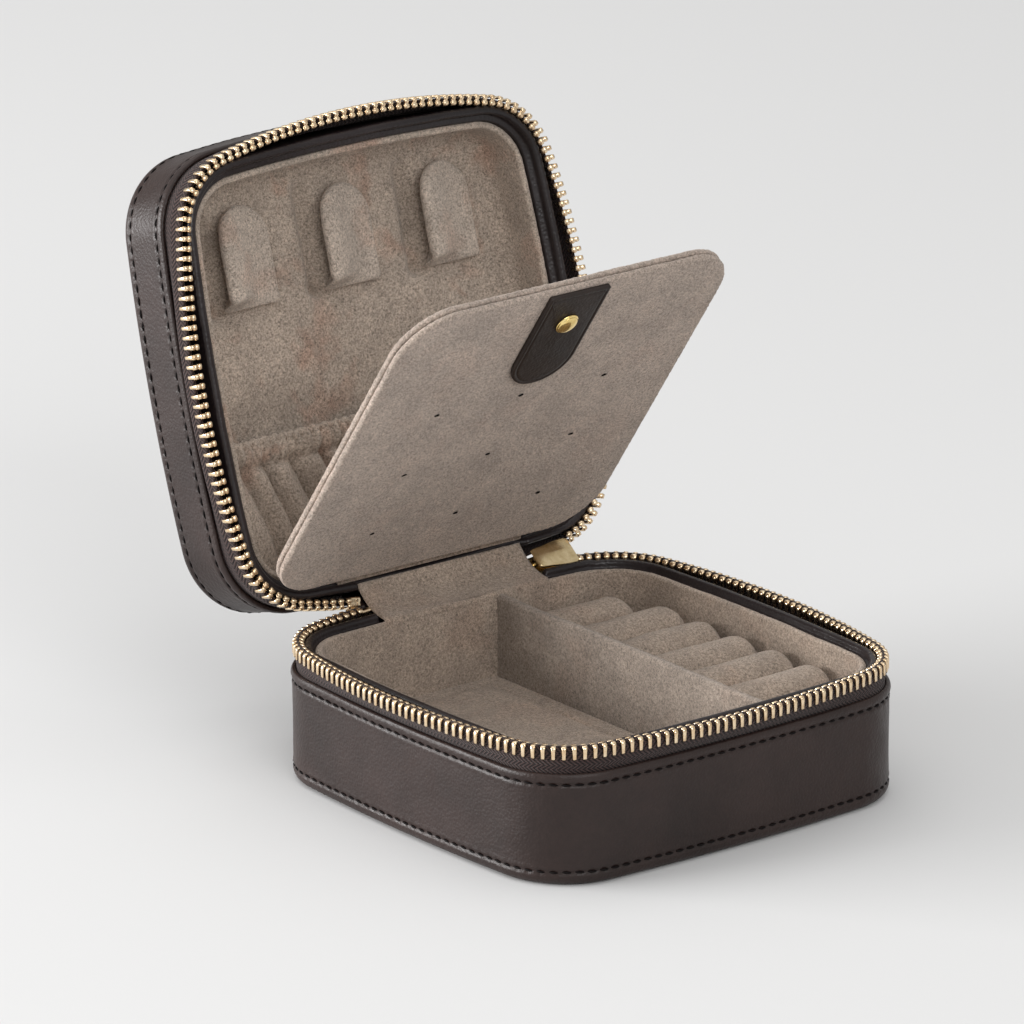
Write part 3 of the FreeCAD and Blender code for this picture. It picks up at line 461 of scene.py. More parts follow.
# ---------------------------------------------------------------- materials


class Finish:
    """Builds one node material step by step."""

    def __init__(self, name):
        self.material = bpy.data.materials.new(name)
        self.material.use_nodes = True
        self.tree = self.material.node_tree
        self.shader = self.tree.nodes["Principled BSDF"]

    def node(self, kind, **settings):
        made = self.tree.nodes.new(kind)
        for key, setting in settings.items():
            setattr(made, key, setting)
        return made

    def link(self, out, into):
        self.tree.links.new(out, into)

    def place(self):
        """Object coordinates, in metres."""
        return self.node("ShaderNodeTexCoord").outputs["Object"]

    def cloth(self):
        """The cloth's own length and width, in metres."""
        return self.node("ShaderNodeUVMap", uv_map="cloth").outputs["UV"]

    def noise(self, where, scale, detail=3.0, roughness=0.55, distortion=0.0):
        made = self.node("ShaderNodeTexNoise")
        made.inputs["Scale"].default_value = scale
        made.inputs["Detail"].default_value = detail
        made.inputs["Roughness"].default_value = roughness
        made.inputs["Distortion"].default_value = distortion
        self.link(where, made.inputs["Vector"])
        return made.outputs["Fac"]

    def cells(self, where, scale):
        made = self.node("ShaderNodeTexVoronoi")
        made.inputs["Scale"].default_value = scale
        self.link(where, made.inputs["Vector"])
        return made.outputs["Distance"]

    def feed(self, item, into):
        """Set a socket to a number or colour, or link another node's output to it."""
        if isinstance(item, (int, float)):
            into.default_value = item
        elif isinstance(item, tuple):
            into.default_value = (*item, 1)
        else:
            self.link(item, into)

    def maths(self, kind, first, second=0.0):
        made = self.node("ShaderNodeMath", operation=kind)
        self.feed(first, made.inputs[0])
        self.feed(second, made.inputs[1])
        return made.outputs["Value"]

    def ramp(self, value, stops):
        made = self.node("ShaderNodeValToRGB")
        marks = made.color_ramp.elements
        while len(marks) < len(stops):
            marks.new(0.5)
        for mark, (spot, colour) in zip(marks, stops):
            mark.position = spot
            mark.color = (*colour, 1)
        self.link(value, made.inputs["Fac"])
        return made.outputs["Color"]

    def blend(self, kind, amount, first, second):
        made = self.node("ShaderNodeMix", data_type="RGBA", blend_type=kind)
        self.feed(amount, made.inputs["Factor"])
        self.feed(first, made.inputs[6])
        self.feed(second, made.inputs[7])
        return made.outputs[2]

    def relief(self, height, strength, distance, below=None):
        made = self.node("ShaderNodeBump")
        made.inputs["Strength"].default_value = strength
        made.inputs["Distance"].default_value = distance
        self.link(height, made.inputs["Height"])
        if below is not None:
            self.link(below, made.inputs["Normal"])
        return made.outputs["Normal"]

    def done(self, colour, rough, normal, **fixed):
        self.link(colour, self.shader.inputs["Base Color"])
        self.link(rough, self.shader.inputs["Roughness"])
        self.link(normal, self.shader.inputs["Normal"])
        for key, setting in fixed.items():
            self.shader.inputs[key.replace("_", " ")].default_value = setting
        return self.material


def grey(value):
    return (value, value, value)


def leather(name, dark, light, rough_low, rough_high):
    """Smooth-grained leather: fine creased cells, faint pores and a satin finish."""
    made = Finish(name)
    where = made.place()
    tone = made.noise(where, 45, 4, 0.6)
    colour = made.ramp(tone, [(0.3, dark), (0.7, light)])
    grain = made.cells(where, 1500)
    crease = made.ramp(grain, [(0.15, grey(1)), (0.75, grey(0))])
    fine = made.noise(where, 3200, 2)
    pores = made.noise(where, 900, 3, 0.6)
    height = made.maths("ADD", made.maths("MULTIPLY", crease, 0.5), made.maths("MULTIPLY", fine, 0.3))
    height = made.maths("ADD", height, made.maths("MULTIPLY", pores, 0.6))
    # Colour is darkened where the pore pattern dips.
    darker_in_pores = made.blend("MULTIPLY", 0.25, colour, made.ramp(pores, [(0.35, grey(0.55)), (0.6, grey(1))]))
    rough = made.ramp(made.noise(where, 160, 3), [(0.3, grey(rough_low)), (0.7, grey(rough_high))])
    soft = made.relief(made.noise(where, 220, 3), 0.25, 0.0004)
    normal = made.relief(height, 0.5, 0.00016, soft)
    return made.done(darker_in_pores, rough, normal, Specular_IOR_Level=0.38)


def suede(name, dark, light, blush, share, sheen=0.35):
    """Brushed suede: speckled nap, soft brushed patches and a warm blush here and there."""
    made = Finish(name)
    where = made.place()
    nap = made.noise(where, 2100, 4, 0.78, 0.6)
    brushed = made.noise(where, 120, 4, 0.6, 0.4)
    patches = made.noise(where, 70, 3, 0.6, 0.3)
    colour = made.ramp(nap, [(0.35, dark), (0.63, light)])
    lie = made.ramp(brushed, [(0.3, grey(0.66)), (0.65, grey(1.08))])
    colour = made.blend("MULTIPLY", 0.7, colour, lie)
    warm = made.maths("MULTIPLY", made.ramp(patches, [(0.53, grey(0)), (0.66, grey(1))]), share)
    colour = made.blend("MIX", warm, colour, made.blend("MULTIPLY", 1.0, colour, blush))
    rough = made.ramp(nap, [(0.2, grey(0.86)), (0.8, grey(1.0))])
    soft = made.relief(made.noise(where, 420, 4, 0.6), 0.35, 0.0006)
    normal = made.relief(nap, 0.9, 0.00035, soft)
    sheen_looks = {"Sheen_Weight": sheen, "Sheen_Roughness": 0.6, "Sheen_Tint": (0.95, 0.88, 0.82, 1)}
    return made.done(colour, rough, normal, Specular_IOR_Level=0.15, **sheen_looks)


def brass(name, dark, light, rough_low, rough_high):
    """Pale gold plate with faint polish marks and a little tarnish."""
    made = Finish(name)
    where = made.place()
    tone = made.noise(where, 700, 3)
    colour = made.ramp(tone, [(0.3, dark), (0.65, light)])
    rough = made.ramp(made.noise(where, 1500, 3), [(0.3, grey(rough_low)), (0.7, grey(rough_high))])
    normal = made.relief(made.noise(where, 900, 2), 0.08, 0.0001)
    return made.done(colour, rough, normal, Metallic=1.0)


def woven_tape(name, dark, light):
    """Zip tape: a herringbone of diagonal ribs that change direction from row to row, its raised crests painted
    lighter as a highlight.
    """
    made = Finish(name)
    where = made.cloth()
    split = made.node("ShaderNodeSeparateXYZ")
    made.link(where, split.inputs[0])
    along, across = split.outputs[0], split.outputs[1]
    row = made.maths("PINGPONG", across, 0.0014)
    lean = made.maths("ADD", along, row)
    ribs = made.maths("SINE", made.maths("MULTIPLY", lean, 2 * math.pi / 0.00105))
    threads = made.maths("SINE", made.maths("MULTIPLY", across, 2 * math.pi / 0.00045))
    height = made.maths("ADD", made.maths("MULTIPLY", ribs, 0.6), made.maths("MULTIPLY", threads, 0.3))
    crest_highlight = made.maths("ADD", made.maths("MULTIPLY", height, 0.35), 0.5)
    fray = made.noise(made.place(), 2500, 3, 0.7)
    # Colour follows the weave's height: the dark tape colour in the hollows and a painted highlight on the raised
    # crests.
    colour = made.ramp(crest_highlight, [(0.3, dark), (0.95, light)])
    colour = made.blend("MULTIPLY", 0.6, colour, made.ramp(fray, [(0.3, grey(0.6)), (0.7, grey(1.15))]))
    rough = made.ramp(fray, [(0.2, grey(0.75)), (0.8, grey(0.95))])
    normal = made.relief(height, 0.8, 0.0002, made.relief(fray, 0.3, 0.0001))
    return made.done(colour, rough, normal, Specular_IOR_Level=0.25, Sheen_Weight=0.1)


def thread(name, dark, light):
    """Waxed thread twisted from two strands."""
    made = Finish(name)
    where = made.place()
    twist = made.noise(where, 2600, 3, 0.6)
    colour = made.ramp(twist, [(0.35, dark), (0.7, light)])
    rough = made.ramp(twist, [(0.2, grey(0.55)), (0.8, grey(0.8))])
    return made.done(colour, rough, made.relief(twist, 0.6, 0.0001), Specular_IOR_Level=0.12)


def card(name, dark, light):
    """Grey board or foam: matt, with a fine speckle."""
    made = Finish(name)
    where = made.place()
    fleck = made.noise(where, 1200, 4, 0.7)
    colour = made.ramp(fleck, [(0.35, dark), (0.65, light)])
    rough = made.ramp(fleck, [(0.2, grey(0.8)), (0.8, grey(0.95))])
    return made.done(colour, rough, made.relief(fleck, 0.4, 0.0002))


LEATHER_FINISH = leather("dark_leather", (0.0155, 0.0078, 0.0062), (0.0330, 0.0180, 0.0150), 0.37, 0.48)
# The collar's own dark leather colour, lifted and tinted blue-grey as a painted sheen.
COLLAR_PAINTED_SHEEN_FINISH = leather("collar_leather_painted_sheen", (0.012, 0.0085, 0.0090), (0.026, 0.019, 0.020), 0.28, 0.40)
TAB_FINISH = leather("tab_leather", (0.011, 0.006, 0.0042), (0.027, 0.016, 0.0115), 0.44, 0.56)
SUEDE_FINISH = suede("taupe_suede", (0.155, 0.121, 0.092), (0.585, 0.463, 0.368), (1.06, 0.94, 0.88), 0.4)
LID_FINISH = suede("lid_suede", (0.158, 0.127, 0.099), (0.690, 0.568, 0.468), (0.98, 0.78, 0.71), 0.75)
# A lighter copy of the lid suede, about a tenth lighter: painted light on the raised hook tabs.
HOOK_PAINTED_LIGHT_FINISH = suede("hook_suede_painted_light", (0.185, 0.153, 0.124), (0.760, 0.640, 0.540), (1.0, 0.85, 0.79), 0.6)
# A darker copy of the taupe suede, about three quarters as light: painted shade on the divider.
DIVIDER_PAINTED_SHADE_FINISH = suede(
    "divider_suede_painted_shade", (0.115, 0.092, 0.073), (0.445, 0.365, 0.300), (1.04, 0.95, 0.90), 0.4
)
PANEL_FINISH = suede(
    "panel_suede", (0.165, 0.131, 0.107), (0.645, 0.518, 0.432), (1.04, 0.95, 0.91), 0.4, 0.4
)
BRASS_FINISH = brass("pale_brass", (0.78, 0.56, 0.34), (0.98, 0.80, 0.56), 0.20, 0.34)
SLIDER_FINISH = brass("slider_gold", (0.70, 0.54, 0.29), (0.88, 0.71, 0.43), 0.20, 0.27)
STUD_FINISH = brass("stud_gold", (0.86, 0.60, 0.20), (1.0, 0.78, 0.34), 0.12, 0.2)
TAPE_FINISH = woven_tape("zip_tape", (0.005, 0.0025, 0.0025), (0.110, 0.066, 0.060))
# The same dark thread finish also lines the panel's pin holes, as painted shade there.
THREAD_AND_HOLE_SHADE_FINISH = thread("dark_thread_and_hole_shade", (0.003, 0.002, 0.002), (0.009, 0.006, 0.006))
BOARD_FINISH = card("grey_board", (0.05, 0.045, 0.04), (0.09, 0.08, 0.07))

# ---------------------------------------------------------------- leather walls and their stitching

STITCH_PITCH = 2.75
STITCH_LENGTH = 2.15
STITCH_RADIUS = 0.24
WALL_STEP = 0.4


def even(step, start=0.0, end=None):
    """Even distances along the leather outline: all the way round, or from a start to an end."""
    if end is None:
        count = int(round(LEATHER.total / step))
        return np.arange(count) / count * LEATHER.total
    return np.linspace(start, end, int(round((end - start) / step)) + 1)


def wall(half):
    """The outer leather: folded rim, two stitched channels, rounded bottom edge and turned-in margin."""
    top = half.wall
    section = round_section(
        [
            (-TURN_IN, 0.0, 0.2),
            (0.0, 0.0, 2.0),
            (0.0, top, 0.42),
            (-SKIN_THICKNESS, top, 0.42),
            (-SKIN_THICKNESS, SKIN_THICKNESS, 0.9),
            (-TURN_IN, SKIN_THICKNESS, 0.2),
        ],
        WALL_STEP,
    )
    distances = even(WALL_STEP)
    stitches = round(LEATHER.total / STITCH_PITCH)
    phase = distances / LEATHER.total * stitches * 2 * math.pi
    needle = (0.5 - 0.5 * np.cos(phase))[:, None] ** 2

    def shape(spots, normals, outset, depth):
        outer = smooth((outset + 0.45) / 0.4)
        for row in (STITCH_LOW, top - STITCH_BELOW_RIM):
            outset = outset - outer * bump(depth - row, 0.32) * (0.3 + 0.22 * needle)
            puff = bump(depth - row - 0.8, 0.42) + bump(depth - row + 0.8, 0.42)
            outset = outset + outer * (0.1 - 0.09 * needle) * puff
        outset = outset + outer * 0.3 * bump(depth - top + 1.0, 0.75)
        ground = place_at(spots[:, :1], spots[:, 1:], depth * 1.6)
        outset = outset + outer * 0.09 * wobble(ground, 17.0, 3.1 + half.is_lid)
        return outset, depth

    points = sweep(distances, section, half.level, shape)
    piece = grid_piece(f"{half.name}_leather_wall", points, wrap_along=True)
    return dress(half.keep(piece, "side_leather"), LEATHER_FINISH)


def stitching(half):
    """Two rows of waxed thread lying in the channels, one short bent strand to a stitch."""
    count = round(LEATHER.total / STITCH_PITCH)
    middles = (np.arange(count) + 0.5) / count * LEATHER.total
    t = np.linspace(-0.5, 0.5, 7)
    around = np.arange(6) / 6 * 2 * math.pi
    parts = []
    for row in (STITCH_LOW, half.wall - STITCH_BELOW_RIM):
        drift = np.array([random.uniform(-0.06, 0.06) for _ in range(count)])
        spots, normals = LEATHER.at(middles[:, None] + t * STITCH_LENGTH)
        swell = np.sqrt(np.clip(1 - (2 * t) ** 2 * 0.8, 0, 1))
        outset = -0.34 + 0.26 * (1 - (2 * t) ** 2)
        depth = row + drift[:, None] + 0.16 * t[None] * (1 if half.is_lid else -1)
        radius = STITCH_RADIUS * swell
        out = outset[None, :, None] + radius[None, :, None] * np.cos(around)
        down = depth[..., None] + radius[None, :, None] * np.sin(around)
        xy = spots[:, :, None] + normals[:, :, None] * out[..., None]
        rings = np.concatenate([xy, half.level(down)[..., None]], -1)
        for ring in rings:
            parts.append(tube(ring))
    piece = joined(f"{half.name}_stitching", parts)
    return dress(half.keep(piece), THREAD_AND_HOLE_SHADE_FINISH)


def tube(rings):
    """Points and faces of a closed tube through rings of points."""
    rows, columns = rings.shape[:2]
    flat = rings.reshape(-1, 3)
    quads = ring_quads(rows, columns)
    faces = [*quads.tolist(), list(range(columns))[::-1], list(range((rows - 1) * columns, rows * columns))]
    if volume_sign(flat - flat.mean(0), quads) < 0:
        faces = [face[::-1] for face in faces]
    return flat, faces


def flat_panel(half, node, name):
    """The large leather panel inside the turned-in margin, very slightly crowned over its board."""
    spots, normals = LEATHER.at(even(1.2))
    loop = spots - normals * (TURN_IN + 0.06)
    face = half.level(0.0)
    back = half.level(SKIN_THICKNESS)
    crown, unevenness = (0.25, 0.06) if half.is_lid else (0.0, 0.0)

    def relief(x, y):
        return unevenness * wobble(place_at(x, y), 21.0, 5.0)

    piece = pad_piece(name, loop, back, face, 0.3, crown, 30, relief)
    return dress(half.keep(piece, node), LEATHER_FINISH)


# ---------------------------------------------------------------- zip


def zip_tape(half):
    """The cloth tape swells out over the rim, stands upright at the teeth and dips for the slider."""
    start = LEATHER.find_back(ZIP_LEFT)
    end = LEATHER.find_back(TAPE_END) + LEATHER.total
    distances = even(0.8, start, end)
    spots, normals = LEATHER.at(distances)
    reach = zip_outset(spots, normals)[:, None] + TAPE_THICKNESS / 2
    foot, top = half.wall, half.meeting - TAPE_EDGE_GAP
    low_top = half.meeting - SLIDER_RELIEF
    on_back = spots[:, 1] > 30
    dip = np.where(on_back, smooth((SLIDER_END - 0.4 - spots[:, 0]) / 1.6), 0.0)
    dip = np.where(distances - start < LEATHER.total / 2, 0.0, dip)
    crest = top - (top - low_top) * dip
    below, flare, above = np.linspace(-0.75, 0, 4), np.linspace(0, 1, 15)[1:], np.linspace(1, 1.43, 4)[1:]
    t = np.concatenate([below, flare, above])[None]
    depth = np.broadcast_to(foot + TAPE_FLARE * t, (len(spots), t.shape[1])).copy()
    flared = -TAPE_INSET + (reach + TAPE_INSET) * (1 - (1 - np.clip(t, 0, 1)) ** 1.9)
    outset = np.where(t < 0, -TAPE_INSET, flared)
    outset = outset + 0.35 * bump(t - 0.62, 0.3)
    depth = np.where(depth > foot, foot + (depth - foot) * ((crest - foot) / (top - foot))[:, None], depth)
    slope_out, slope_up = np.gradient(outset, axis=1), np.gradient(depth, axis=1)
    size = np.hypot(slope_out, slope_up)
    back_out = outset - TAPE_THICKNESS * slope_up / size
    back_up = depth + TAPE_THICKNESS * slope_out / size
    out = np.concatenate([outset, back_out[:, ::-1]], 1)
    up = np.concatenate([depth, back_up[:, ::-1]], 1)
    xy = spots[:, None] + normals[:, None] * out[..., None]
    points = np.concatenate([xy, half.level(up)[..., None]], -1)
    piece = grid_piece(f"{half.name}_tape", points)
    return dress(half.keep(piece, "zip_tape"), TAPE_FINISH)


def tooth_rings():
    """A tooth in its own axes: along the zip, outwards and towards the closing plane."""
    # each row: outwards, towards the closing plane, width and thickness of the metal there
    path = [
        (0.80, -1.60, 0.66, 0.42),
        (0.82, -1.40, 0.82, 0.60),
        (0.82, -0.30, 0.84, 0.64),
        (0.80, 0.50, 0.92, 0.72),
        (0.62, 0.92, 1.10, 0.84),
        (0.28, 0.98, 1.12, 0.80),
        (0.02, 0.86, 0.92, 0.58),
        (-0.20, 0.78, 0.88, 0.52),
        (-0.46, 0.86, 1.22, 0.86),
        (-0.72, 0.80, 1.42, 1.10),
        (-0.94, 0.52, 1.40, 1.10),
        (-1.00, 0.14, 1.12, 0.84),
        (-0.90, -0.45, 0.85, 0.52),
        (-0.88, -1.20, 0.75, 0.42),
    ]
    spine = np.array(path)
    run = np.gradient(spine[:, :2], axis=0)
    run /= np.linalg.norm(run, axis=1)[:, None]
    side = np.stack([run[:, 1], -run[:, 0]], -1)
    corners = np.arange(12) / 12 * 2 * math.pi
    across = np.sign(np.cos(corners)) * np.abs(np.cos(corners)) ** 0.55
    thick = np.sign(np.sin(corners)) * np.abs(np.sin(corners)) ** 0.55
    rings = np.zeros((len(spine), 12, 3))
    rings[:, :, 0] = spine[:, 2:3] / 2 * across
    rings[:, :, 1] = spine[:, 0:1] + side[:, 0:1] * spine[:, 3:4] / 2 * thick
    rings[:, :, 2] = spine[:, 1:2] + side[:, 1:2] * spine[:, 3:4] / 2 * thick
    return rings


def zip_teeth(half):
    """The row of metal teeth clamped over the tape's edge; the lid's row sits half a pitch on."""
    first = ZIP.find_back(ZIP_LEFT - 2.2)
    last = ZIP.find_back(SLIDER_END) + ZIP.total
    shift = TOOTH_PITCH / 2 if half.is_lid else 0.0
    count = int((last - first - shift) / TOOTH_PITCH) + 1
    stations = first + shift + TOOTH_PITCH * np.arange(count)
    spots, normals = ZIP.at(stations)
    edge = half.meeting - TAPE_EDGE_GAP
    across, out, up = np.moveaxis(tooth_rings(), -1, 0)

    def clamped(spot, normal, across, up):
        along = np.array([-normal[1], normal[0]])
        xy = spot + along * across[..., None] + normal * out[..., None]
        return tube(np.concatenate([xy, half.level(edge + up)[..., None]], -1))

    parts = []
    for spot, normal in zip(spots, normals):
        lean = random.uniform(-0.02, 0.02)
        parts.append(clamped(spot, normal, across + up * lean, up))
    for step in (-1.35, -0.45, 0.45, 1.35):
        spot, normal = ZIP.at(first + shift - 1.6 + step * 0.62)
        parts.append(clamped(spot, normal, across * 0.95, np.minimum(up, 0.78)))
    piece = joined(f"{half.name}_tooth_row", parts)
    return dress(half.keep(piece, "zip_teeth", "zip_stops"), BRASS_FINISH)


# ---------------------------------------------------------------- collars and linings


def collar(half):
    """The leather-covered collar inside the zip: its rolled rim is let down behind the suede strip."""
    low, top = LAYER_LOW, half.collar
    ledge = top - (2.3 if half.is_lid else 1.9)
    inner = LINING_INSET + (TRAY_EXTRA if half.is_lid else BASE_LINING_EXTRA)
    section = round_section(
        [
            (-COLLAR_INSET, low, 0.2),
            (-COLLAR_INSET, top, 0.9),
            (-COLLAR_INSET - 1.8, top, 0.9),
            (-COLLAR_INSET - 1.9, ledge + 0.4, 0.5),
            (-inner, ledge, 0.5),
            (-inner, low, 0.2),
        ],
        0.5,
    )
    deep = half.meeting - 2.9

    def shape(spots, normals, outset, depth):
        x, on_back = spots[:, 0], spots[:, 1] > 40
        strip = smooth((x - STRIP_LEFT + 0.8) / 0.8) * smooth((STRIP_RIGHT + 0.5 - x) / 0.4)
        slider = smooth((x - STRIP_RIGHT) / 0.4) * smooth((ZIP_RIGHT + 0.8 - x) / 0.8)
        crest = np.where(on_back, top + 0.35 * slider - (top - deep) * strip, top)
        depth = low + (depth - low) * ((crest - low) / (top - low))[:, None]
        ground = place_at(spots[:, :1], spots[:, 1:], depth)
        thinner = (0.35 * slider * on_back)[:, None] * smooth((outset + 3.6) / 1.2)
        return outset - thinner + 0.06 * wobble(ground, 9.0, 1.7 + half.is_lid), depth

    points = sweep(even(0.8), section, half.level, shape)
    piece = grid_piece(f"{half.name}_collar_cover", points, wrap_along=True)
    # The collar leather carries a painted bluish sheen in its colour.
    return dress(half.keep(piece, "collar"), COLLAR_PAINTED_SHEEN_FINISH)


def base_lining():
    """The suede wall of the base, with a soft rolled top edge."""
    inner = -FILLING_INSET - BASE_LINING_EXTRA + 0.05
    section = round_section(
        [
            (-LINING_INSET - BASE_LINING_EXTRA, LAYER_LOW, 0.2),
            (-LINING_INSET - BASE_LINING_EXTRA, BASE.lining, 0.7),
            (inner, BASE.lining, 0.7),
            (inner, LAYER_LOW, 0.2),
        ],
        0.6,
    )

    def shape(spots, normals, outset, depth):
        inside = smooth((LINING_INSET + BASE_LINING_EXTRA + 0.9 + outset) / -0.6)
        ground = place_at(spots[:, :1], spots[:, 1:], depth)
        sag = 0.18 * wobble(ground, 14.0, 9.0) * smooth((depth - BASE.lining + 3) / 3)
        middle = smooth((depth - FLOOR_TOP) / 4) * smooth((BASE.lining - depth) / 4)
        return outset - inside * 0.14 * middle, depth + sag

    piece = grid_piece("base_suede_wall", sweep(even(0.7), section, BASE.level, shape), wrap_along=True)
    fuzz(piece)
    return dress(settle(piece, "base", "base_lining_wall"), SUEDE_FINISH)


def lid_tray():
    """The lid's lining in one piece: a rolled rim, and walls that curve into a softly dented floor."""
    rim, floor = LID_LINING_DEPTH - 0.6, LID_FLOOR_DEPTH
    height = rim - LAYER_LOW
    wall_inset = FILLING_INSET - LINING_INSET - 0.05
    roll, foot = 0.75, 3.2
    shoulder = height - roll
    profile = [(0.1, 0.0), (0.0, 0.1)] + [(0.0, h) for h in np.linspace(1.5, shoulder, 8)]
    profile += arc((roll, shoulder), roll, 180, 90, 5)
    profile += [(wall_inset - roll, height), *arc((wall_inset - roll, shoulder), roll, 90, 18, 4)]
    floor_bend = floor - LAYER_LOW + foot
    profile += [(wall_inset, h) for h in np.linspace(shoulder, floor_bend, 16)]
    profile += arc((wall_inset + foot, floor_bend), foot, 180, 270, 8)
    spots, normals = LEATHER.at(even(0.9))
    loop = spots - normals * (LINING_INSET + TRAY_EXTRA)

    def relief(x, y):
        dents = 0.28 * wobble(place_at(x, y), 13.0, 4.0) + 0.1 * wobble(place_at(x, y), 4.0, 2.0)
        for centre in TAB_CENTRES:
            beside = bump(x - centre + 8.6, 1.8) * smooth((y + 41) / 5) * smooth((-12 - y) / 4)
            under = bump(y - TAB_FOOT - 1.2, 1.2) * smooth((9.5 - np.abs(x - centre)) / 3)
            beyond = bump(x - centre - 9.4, 1.4) * smooth((y + 36) / 5) * smooth((-10 - y) / 6)
            hollow = bump(x - centre + 8.2, 1.0) * bump(y - TAB_FOOT + 0.2, 1.0)
            dents = dents - 3.0 * beside - 0.9 * under - 2.2 * hollow + 0.2 * beyond
        return dents

    back, face = CASE_HEIGHT - LAYER_LOW, CASE_HEIGHT - rim
    piece = pad_piece("lid_suede_tray", loop, back, face, roll, 0.0, 46, relief, profile=profile)
    fuzz(piece)
    return dress(settle(piece, "lid", "lid_lining_wall", "lid_floor", "lid_foam"), LID_FINISH)


def compartment_loop(edge_x, to_left):
    """The floor outline of one compartment: the lining's inner face cut off at the divider."""
    side = -1.0 if to_left else 1.0
    corner = 1.4
    start = LEATHER.find_back(edge_x + side * corner)
    distances = start + np.arange(1400) / 1400 * LEATHER.total
    spots, normals = LEATHER.at(distances)
    inner = spots - normals * (FILLING_INSET + 0.02)
    chosen = inner[(inner[:, 0] - edge_x) * side >= corner]
    if not to_left:
        chosen = np.roll(chosen, -int(np.argmax(np.linalg.norm(np.diff(chosen, axis=0), axis=1))) - 1, 0)
    reach = np.abs(inner[np.argmin(np.abs(inner[:, 0] - edge_x))][1])
    turns = np.linspace(0, math.pi / 2, 6)
    x = edge_x + side * corner - side * corner * np.sin(turns)
    if to_left:
        low = np.column_stack([x, -reach + corner * (1 - np.cos(turns))])
        high = np.column_stack([x[::-1], reach - corner * (1 - np.cos(turns[::-1]))])
        loop = np.concatenate([chosen, low, high])
    else:
        high = np.column_stack([x, reach - corner * (1 - np.cos(turns))])
        low = np.column_stack([x[::-1], -reach + corner * (1 - np.cos(turns[::-1]))])
        loop = np.concatenate([chosen, high, low])
    return resample(loop, 0.7)


def resample(loop, step):
    """Even points round a closed loop."""
    closed = np.concatenate([loop, loop[:1]])
    lengths = np.linalg.norm(np.diff(closed, axis=0), axis=1)
    keep = np.concatenate([[True], lengths > 1e-6])
    closed = closed[keep]
    travel = np.concatenate([[0], np.cumsum(np.linalg.norm(np.diff(closed, axis=0), axis=1))])
    count = int(travel[-1] / step)
    spots = np.arange(count) / count * travel[-1]
    return np.column_stack([np.interp(spots, travel, closed[:, k]) for k in (0, 1)])


def floor_pad():
    """The padded floor of the open compartment, sewn down in a flat margin round a raised middle."""
    loop = compartment_loop(DIVIDER_LOW.x - 0.05, True)

    def relief(x, y):
        from_lining = -FILLING_INSET - LEATHER.signed_distance(np.stack([x, y], -1))
        inset = np.minimum(DIVIDER_LOW.x - x, from_lining)
        raised = smooth((inset - 4.4) / 2.2)
        crease = bump(inset - 4.3, 0.55)
        return 0.7 * raised - 0.3 - 0.75 * crease + 0.22 * wobble(place_at(x, y), 9.0, 6.0) * raised

    piece = pad_piece("floor_cushion", loop, LAYER_LOW, FLOOR_TOP, 0.5, 0.25, 40, relief)
    fuzz(piece)
    return dress(settle(piece, "base", "floor_pad", "floor_foam"), SUEDE_FINISH)


def ring_bed():
    """The suede-covered bed that the ring rolls are sewn down to."""
    loop = compartment_loop(DIVIDER_HIGH.x + 0.05, False)

    def relief(x, y):
        return 0.1 * wobble(place_at(x, y), 7.0, 8.0)

    piece = pad_piece("ring_bed_cover", loop, LAYER_LOW, BED_TOP - 0.2, 0.5, 0.0, 26, relief)
    return dress(settle(piece, "base", "ring_bed"), SUEDE_FINISH)


def divider():
    """The upright suede divider, a little uneven along its rounded top, in a darker copy of the suede as painted
    shade.
    """
    low, high = DIVIDER_LOW, DIVIDER_HIGH
    corners = [(low.x, low.z, 0.2), (high.x, low.z, 0.2), (high.x, high.z, 0.98), (low.x, high.z, 0.98)]
    x, z = round_section(corners, 0.6).T
    y = np.linspace(low.y, high.y, 150)[:, None]
    ground = place_at(0.0, y, z)
    rise = smooth((z - FLOOR_TOP) / 15)
    sway, lift = 0.2 * wobble(ground, 16.0, 2.0), 0.14 * wobble(ground, 12.0, 3.0)
    piece = grid_piece("divider_cover", place_at(x + sway * rise, y, z + lift * rise))
    fuzz(piece)
    return dress(settle(piece, "base", "divider"), DIVIDER_PAINTED_SHADE_FINISH)


def ring_roll(number):
    """One foam roll in suede: a soft cylinder with a rounded free end."""
    low, high = box_mm(f"ring_roll_{number}")
    radius = (high.z - low.z) / 2
    middle_y, middle_z = (low.y + high.y) / 2, (low.z + high.z) / 2
    length = high.x - low.x + 1.0
    cap = 5.6 if length < 30.5 else 4.6
    t = np.concatenate([np.zeros(64), np.sin(np.linspace(0, 1, 15)[1:] * math.pi / 2)])[:, None]
    along = np.concatenate([np.linspace(0, length - cap, 64), np.full(14, length - cap)])[:, None] + cap * t
    girth = np.clip(1 - t**2.2, 0, 1) ** 0.62 * 0.985 + 0.015
    around = np.arange(56) / 56 * 2 * math.pi
    x = low.x + along
    puff = 1.0 - 0.02 * np.cos(along / 11.0 + number) ** 2
    ground = place_at(x, 9 * np.cos(around) + number * 30, 9 * np.sin(around))
    uneven = 0.16 * wobble(ground, 7.0, 1.0) + 0.06 * wobble(ground, 2.6, 5.0)
    r = np.minimum(radius * girth * puff + uneven * girth, radius + 0.08)
    points = place_at(x, middle_y + r * np.cos(around), middle_z + r * np.sin(around))
    piece = grid_piece(f"ring_roll_{number}_cover", points)
    fuzz(piece, seed=number)
    return dress(settle(piece, "base", f"ring_roll_{number}"), SUEDE_FINISH)


# ---------------------------------------------------------------- lid fittings

TAB_CENTRES = (-26.4, 0.9, 28.0)
TAB_HALF_WIDTH = 7.8
TAB_TIP, TAB_FOOT = -37.4, -15.0
TAB_THICKNESS = 2.0
TAB_LIFT = 1.3
LID_FLOOR_Z = CASE_HEIGHT - LID_FLOOR_DEPTH
POCKET_MOUTH = 12.8
POCKET_LIFT = 5.3
POCKET_THICKNESS = 0.6


